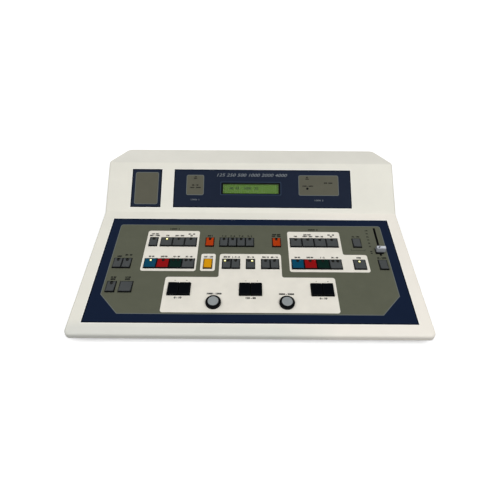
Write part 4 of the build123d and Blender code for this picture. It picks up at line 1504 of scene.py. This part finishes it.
@dataclass
class Print:
    """Printed numbers, signs and lines, as thin ink on the foils and the screen."""

    shop: Workshop
    ink: float = 0.03
    up: float = 0.12
    key_size: float = 3.4
    key_lift: float = 2.6
    minus: tuple[float, float, float, float] = (1.0, 4.6, 2.0, 0.5)
    plus: tuple[float, float, float] = (1.5, 3.2, 3.6)
    under: Pair = (-5.2, 3.7)
    bars: tuple[tuple[float, float, float, float], ...] = (
        (156.5, 122.3, 20.0, 0.4), (146.5, 123.6, 0.4, 2.6), (166.5, 123.6, 0.4, 2.6)
    )
    tone_line: float = 43.6
    channel_line: float = 161.8
    scale_column: float = 174.8
    rule: Pair = (0.6, 60.6)
    box_line: float = 19.8
    digit_line: float = 40.2
    digit_up: float = -3.93
    scale: tuple[tuple[str, float], ...] = (
        ("30", 116.0), ("40", 119.6), ("50", 129.2), ("60", 135.6),
        ("70", 141.9), ("80", 148.3), ("90", 154.7), ("100", 161.0),
    )
    notes: tuple[tuple[str, float, float], ...] = (
        ("10\n250", -89.0, 56.0), ("20 - 40", -89.0, 44.6), ("1000 - 2000", -89.0, 40.4),
        ("20\n250", 90.2, 56.0), ("1000 - 2000", 91.0, 44.0), ("500 1000", 124.0, 49.4),
    )
    digits: tuple[tuple[str, float], ...] = (("40", -31.0), ("45", -21.5), ("1000", -5.5), ("25", 9.0))
    meshes: dict[str, list[Mesh]] = field(default_factory=dict)

    def words(self, mark: Mark, slope: Slope) -> None:
        """Makes the letters of a mark on a face, and adds them to its ink.

        Args:
            mark: the text with its place and size.
            slope: the face.
        """
        curve = bpy.data.curves.new("text", "FONT")
        curve.body, curve.size, curve.shear, curve.offset = mark.text, mark.size, mark.lean, mark.bold
        curve.align_x, curve.align_y = "CENTER", "BOTTOM_BASELINE"
        curve.extrude = self.ink / 2
        curve.space_line = 1.0
        curve.resolution_u = 3
        maker = bpy.data.objects.new("text", curve)
        bpy.context.scene.collection.objects.link(maker)
        bpy.context.view_layer.update()
        mesh = bpy.data.meshes.new_from_object(maker.evaluated_get(bpy.context.evaluated_depsgraph_get()))
        bpy.data.objects.remove(maker)
        bpy.data.curves.remove(curve)
        points = np.zeros(len(mesh.vertices) * 3, np.float32)
        mesh.vertices.foreach_get("co", points)
        local = points.reshape(-1, 3) * np.array([mark.stretch, 1.0, 1.0])
        local = local + np.array([mark.x, mark.along, mark.up])
        mesh.vertices.foreach_set("co", slope.place(local).astype(np.float32).ravel())
        mesh.update()
        self.meshes.setdefault(mark.ink, []).append(mesh)

    def bar(self, x: float, along: float, width: float, height: float) -> None:
        """Adds a thin dark bar about a middle point of the control foil.

        Args:
            x: its middle across the face.
            along: its middle up the face.
            width: its size across.
            height: its size up the face.
        """
        ends = (along - height / 2, along + height / 2)
        levels = (self.up - self.ink / 2, self.up + self.ink / 2)
        points, faces = moved(slab(ends, levels, width, self.ink / 4), x)
        self.meshes.setdefault("dark", []).append(mesh_of("bar", CASE.control.place(points), faces))

    def build(self) -> None:
        """Prints both foils and the screen, with one piece for each ink."""
        self.key_numbers()
        self.panel_marks()
        self.display_marks()
        for group, finish, slot in (
            ("dark", "dark_ink", "foil_print"),
            ("pale", "pale_ink", "foil_print"),
            ("lcd", "digits", "lcd_glass"),
        ):
            self.shop.piece("ink_" + group, joined(group, self.meshes[group]), finish, ROOT, slot)

    def key_numbers(self) -> None:
        """Numbers above the keys."""
        for key in KEYS:
            if key.label:
                line = key.row.value.along + key.row.value.depth / 2 + self.key_lift + key.lift
                mark = Mark("dark", key.label, across(key.node)[0], line, self.key_size, bold=0.23)
                self.words(mark, CASE.control)

    def panel_marks(self) -> None:
        """Signs of the black keys, numbers of the channels, and the fader's scale."""
        row, marks = Rows.BLACK.value, []
        rear, front = row.along + row.depth / 2, row.along - row.depth / 2
        (x, up, *bar), (plus_x, plus_up, plus), (down, size) = self.minus, self.plus, self.under
        for pair, text in (("left_level", "0 - 10"), ("frequency", "125 - 80"), ("right_level", "0 - 10")):
            first, second = (across(f"{pair}_{sign}_key")[0] for sign in ("minus", "plus"))
            self.bar(first + x, rear + up, *bar)
            marks.append(Mark("dark", "+", second + plus_x, rear + plus_up, plus, bold=0.05))
            marks.append(Mark("dark", text, (first + second) / 2, front + down, size, 1.1, 0.24))
        for side, node, x in ((1, "left_tone_button", -114.5), (2, "right_tone_button", 94.0)):
            tone = Mark("dark", f"{side}000 - {side}500", across(node)[0], self.tone_line, 3.4, 1.2, 0.24)
            marks += [tone, Mark("dark", f"1000 {side}", x, self.channel_line, 3.7, 1.5, 0.14)]
        marks += [Mark("dark", text, self.scale_column, along, 3.2, bold=0.10) for text, along in self.scale]
        for mark in marks:
            self.words(mark, CASE.control)
        for each in self.bars:
            self.bar(*each)

    def display_marks(self) -> None:
        """Numeric rule over the screen, numbers of the boxes beside it, and digits on the screen."""
        marks = [Mark("pale", "125 250 500 1000 2000 4000", *self.rule, 7.2, 1.33, 0.06, 0.28)]
        for side, x in ((1, -88.5), (2, 108.2)):
            marks.append(Mark("pale", f"1000 {side}", x, self.box_line, 3.6, 1.5))
        marks += [Mark("dark", text, x, along, 2.9, 1.25, 0.11) for text, x, along in self.notes]
        for text, x in self.digits:
            marks.append(Mark("lcd", text, x, self.digit_line, 5.6, 1.1, 0.22, up=self.digit_up))
        for mark in marks:
            self.words(mark, CASE.display)


@dataclass
class Display:
    """The foils, the window pane and the screen behind it."""

    shop: Workshop
    view_width: float = 94.5
    view_height: float = 17.8
    centre: float = 40.2
    glass_top: float = -4.0
    film: float = 0.04

    def build(self) -> None:
        """Builds the screen and dresses the foils, pane and module."""
        self.shop.dress("printed_foils", "foil")
        self.shop.dress("lcd_window", "pane")
        self.shop.dress("lcd_module", "black")
        ends = (self.centre - self.view_height / 2, self.centre + self.view_height / 2)
        screen = slab(ends, (self.glass_top, self.glass_top + self.film), self.view_width, self.film / 4)
        mesh = self.shop.shape([screen], CASE.display)
        self.shop.piece("lcd_screen", mesh, "screen", ROOT, "lcd_glass")


@dataclass
class RearPanel:
    """Sockets, data port, mains inlet and rocker at the back."""

    shop: Workshop

    def build(self) -> None:
        """Rounds the edges of the panel and of what sits in it."""
        self.shop.refined("rear_panel", "tray", ROOT, "tray_metal", 0.2, 2)
        for node, bevel in (("rear_sockets", 0.2), ("mains_inlet", 0.3)):
            self.shop.refined(node, "black", ROOT, "switch_black", bevel, 2)
        self.shop.refined("power_rocker", "black", "power_rocker", "switch_black", 0.35)


@dataclass
class Inside:
    """Boards and transformer inside the case."""

    shop: Workshop

    def build(self) -> None:
        """Dresses the inner nodes."""
        self.shop.dress("circuit_boards", "board")
        self.shop.dress("mains_transformer", "core")


# Studio


def seen_rays(tree: bpy.types.NodeTree, path: bpy.types.Node) -> Socket:
    """One for a ray from the camera, off a gloss or through glass, and zero for light itself.

    Args:
        tree: the tree to add nodes to.
        path: its Light Path node.

    Returns:
        The socket with that value.
    """
    value = path.outputs["Is Camera Ray"]
    for name in ("Is Glossy Ray", "Is Transmission Ray"):
        most = tree.nodes.new("ShaderNodeMath")
        most.operation = "MAXIMUM"
        tree.links.new(value, most.inputs[0])
        tree.links.new(path.outputs[name], most.inputs[1])
        value = most.outputs[0]
    return value


@dataclass
class Studio:
    """Floor, soft lamps and the camera at the photograph's place."""

    eye: tuple[float, float, float] = (-1.3, -465.55, 417.4)
    pitch: float = 40.86
    yaw: float = 0.09
    roll: float = -0.47
    lens: float = 28.8
    floor_reach: float = 6.0
    floor_tone: float = 0.86
    floor_shade: float = 0.10
    floor_lift: float = 0.45
    floor_far: float = 0.80
    world_tone: float = 0.34

    def build(self) -> None:
        """Builds the studio round the console."""
        scene = bpy.context.scene
        scene.view_settings.view_transform = "Standard"
        self.world(scene)
        self.floor()
        self.lamps()
        self.camera(scene)

    def world(self, scene: bpy.types.Scene) -> None:
        """Even soft light, seen as plain white where the camera or a reflection meets it.

        Args:
            scene: the scene that it lights.
        """
        world = bpy.data.worlds.new("studio")
        scene.world = world
        world.use_nodes = True
        tree = world.node_tree
        light = tree.nodes["Background"]
        white = tree.nodes.new("ShaderNodeBackground")
        for node, strength in ((light, self.world_tone), (white, 1.0)):
            node.inputs["Color"].default_value = WHITE
            node.inputs["Strength"].default_value = strength
        path = tree.nodes.new("ShaderNodeLightPath")
        mix = tree.nodes.new("ShaderNodeMixShader")
        tree.links.new(seen_rays(tree, path), mix.inputs[0])
        tree.links.new(light.outputs[0], mix.inputs[1])
        tree.links.new(white.outputs[0], mix.inputs[2])
        tree.links.new(mix.outputs[0], tree.nodes["World Output"].inputs["Surface"])

    def floor(self) -> None:
        """Pale floor under the feet, lifted to white where the lamps' light fades with the distance."""
        corners = np.array([(-1, -1, 0), (1, -1, 0), (1, 1, 0), (-1, 1, 0)]) * self.floor_reach
        mesh = mesh_of("floor", corners, np.array([[0, 1, 2, 3]]))
        nodes = Nodes("floor_paper")
        seen = seen_rays(nodes.tree, nodes.add("ShaderNodeLightPath"))
        tones = (self.floor_tone, self.floor_tone * 1.02, self.floor_shade)
        tone, pale, shade = ((value, value, value, 1.0) for value in tones)
        paper = nodes.mix(nodes.noise(2.0), tone, pale)
        lift = nodes.span(nodes.vector("LENGTH", nodes.where), 0.5, 2.0, self.floor_lift, self.floor_far)
        mesh.materials.append(nodes.surface({
            "Base Color": nodes.mix(seen, shade, paper), "Roughness": 0.9, "Specular IOR Level": 0.1,
            "Emission Color": WHITE, "Emission Strength": nodes.math("MULTIPLY", seen, lift),
        }))
        made = bpy.data.objects.new("floor", mesh)
        bpy.context.scene.collection.objects.link(made)

    def lamps(self) -> None:
        """Broad lamps high over the right and the left, and a weak one behind."""
        for name, place, size, power in (
            ("key", (0.85, -0.95, 1.62), 1.1, 18.4),
            ("fill", (-1.10, -0.85, 1.85), 1.6, 16.4),
            ("rear", (-0.70, 1.90, 0.55), 1.0, 5.0),
        ):
            data = bpy.data.lights.new(name, "AREA")
            data.size = size
            data.energy = power
            lamp = bpy.data.objects.new(name, data)
            lamp.location = place
            lamp.visible_camera = False
            aim = Vector((0, 0, 0.04)) - Vector(place)
            lamp.rotation_mode = "QUATERNION"
            lamp.rotation_quaternion = aim.to_track_quat("-Z", "Y")
            bpy.context.scene.collection.objects.link(lamp)

    def camera(self, scene: bpy.types.Scene) -> None:
        """Camera looking down the pitch, turned by the yaw and tipped by the roll.

        Args:
            scene: the scene that it looks at.
        """
        pitch, yaw, roll = (math.radians(value) for value in (self.pitch, self.yaw, self.roll))
        ahead = Vector((math.sin(yaw) * math.cos(pitch), math.cos(yaw) * math.cos(pitch), -math.sin(pitch)))
        level = Vector((math.cos(yaw), -math.sin(yaw), 0))
        upward = level.cross(ahead)
        right = level * math.cos(roll) - upward * math.sin(roll)
        up = upward * math.cos(roll) + level * math.sin(roll)
        data = bpy.data.cameras.new("camera")
        data.lens = self.lens
        data.sensor_width = 36.0
        data.clip_start, data.clip_end = 0.01, 50.0
        eye = bpy.data.objects.new("camera", data)
        facing = Matrix((right, up, -ahead)).transposed().to_4x4()
        eye.matrix_world = Matrix.Translation(Vector(self.eye) * MM) @ facing
        scene.collection.objects.link(eye)
        scene.camera = eye


def main() -> None:
    """Builds the console's looks in order."""
    logging.basicConfig(level=logging.INFO, format="%(name)s: %(message)s")
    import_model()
    bpy.context.view_layer.update()
    shop = Workshop(Finishes())
    for assembly in (Case(shop), KeyField(shop), RoundButtons(shop), Fader(shop), Display(shop), Print(shop),
                     RearPanel(shop), Inside(shop)):
        assembly.build()
        LOG.info("%s done", type(assembly).__name__)
    Studio().build()
    bpy.context.view_layer.update()
    LOG.info("%d pieces", shop.count)


if __name__ == "__main__":
    main()
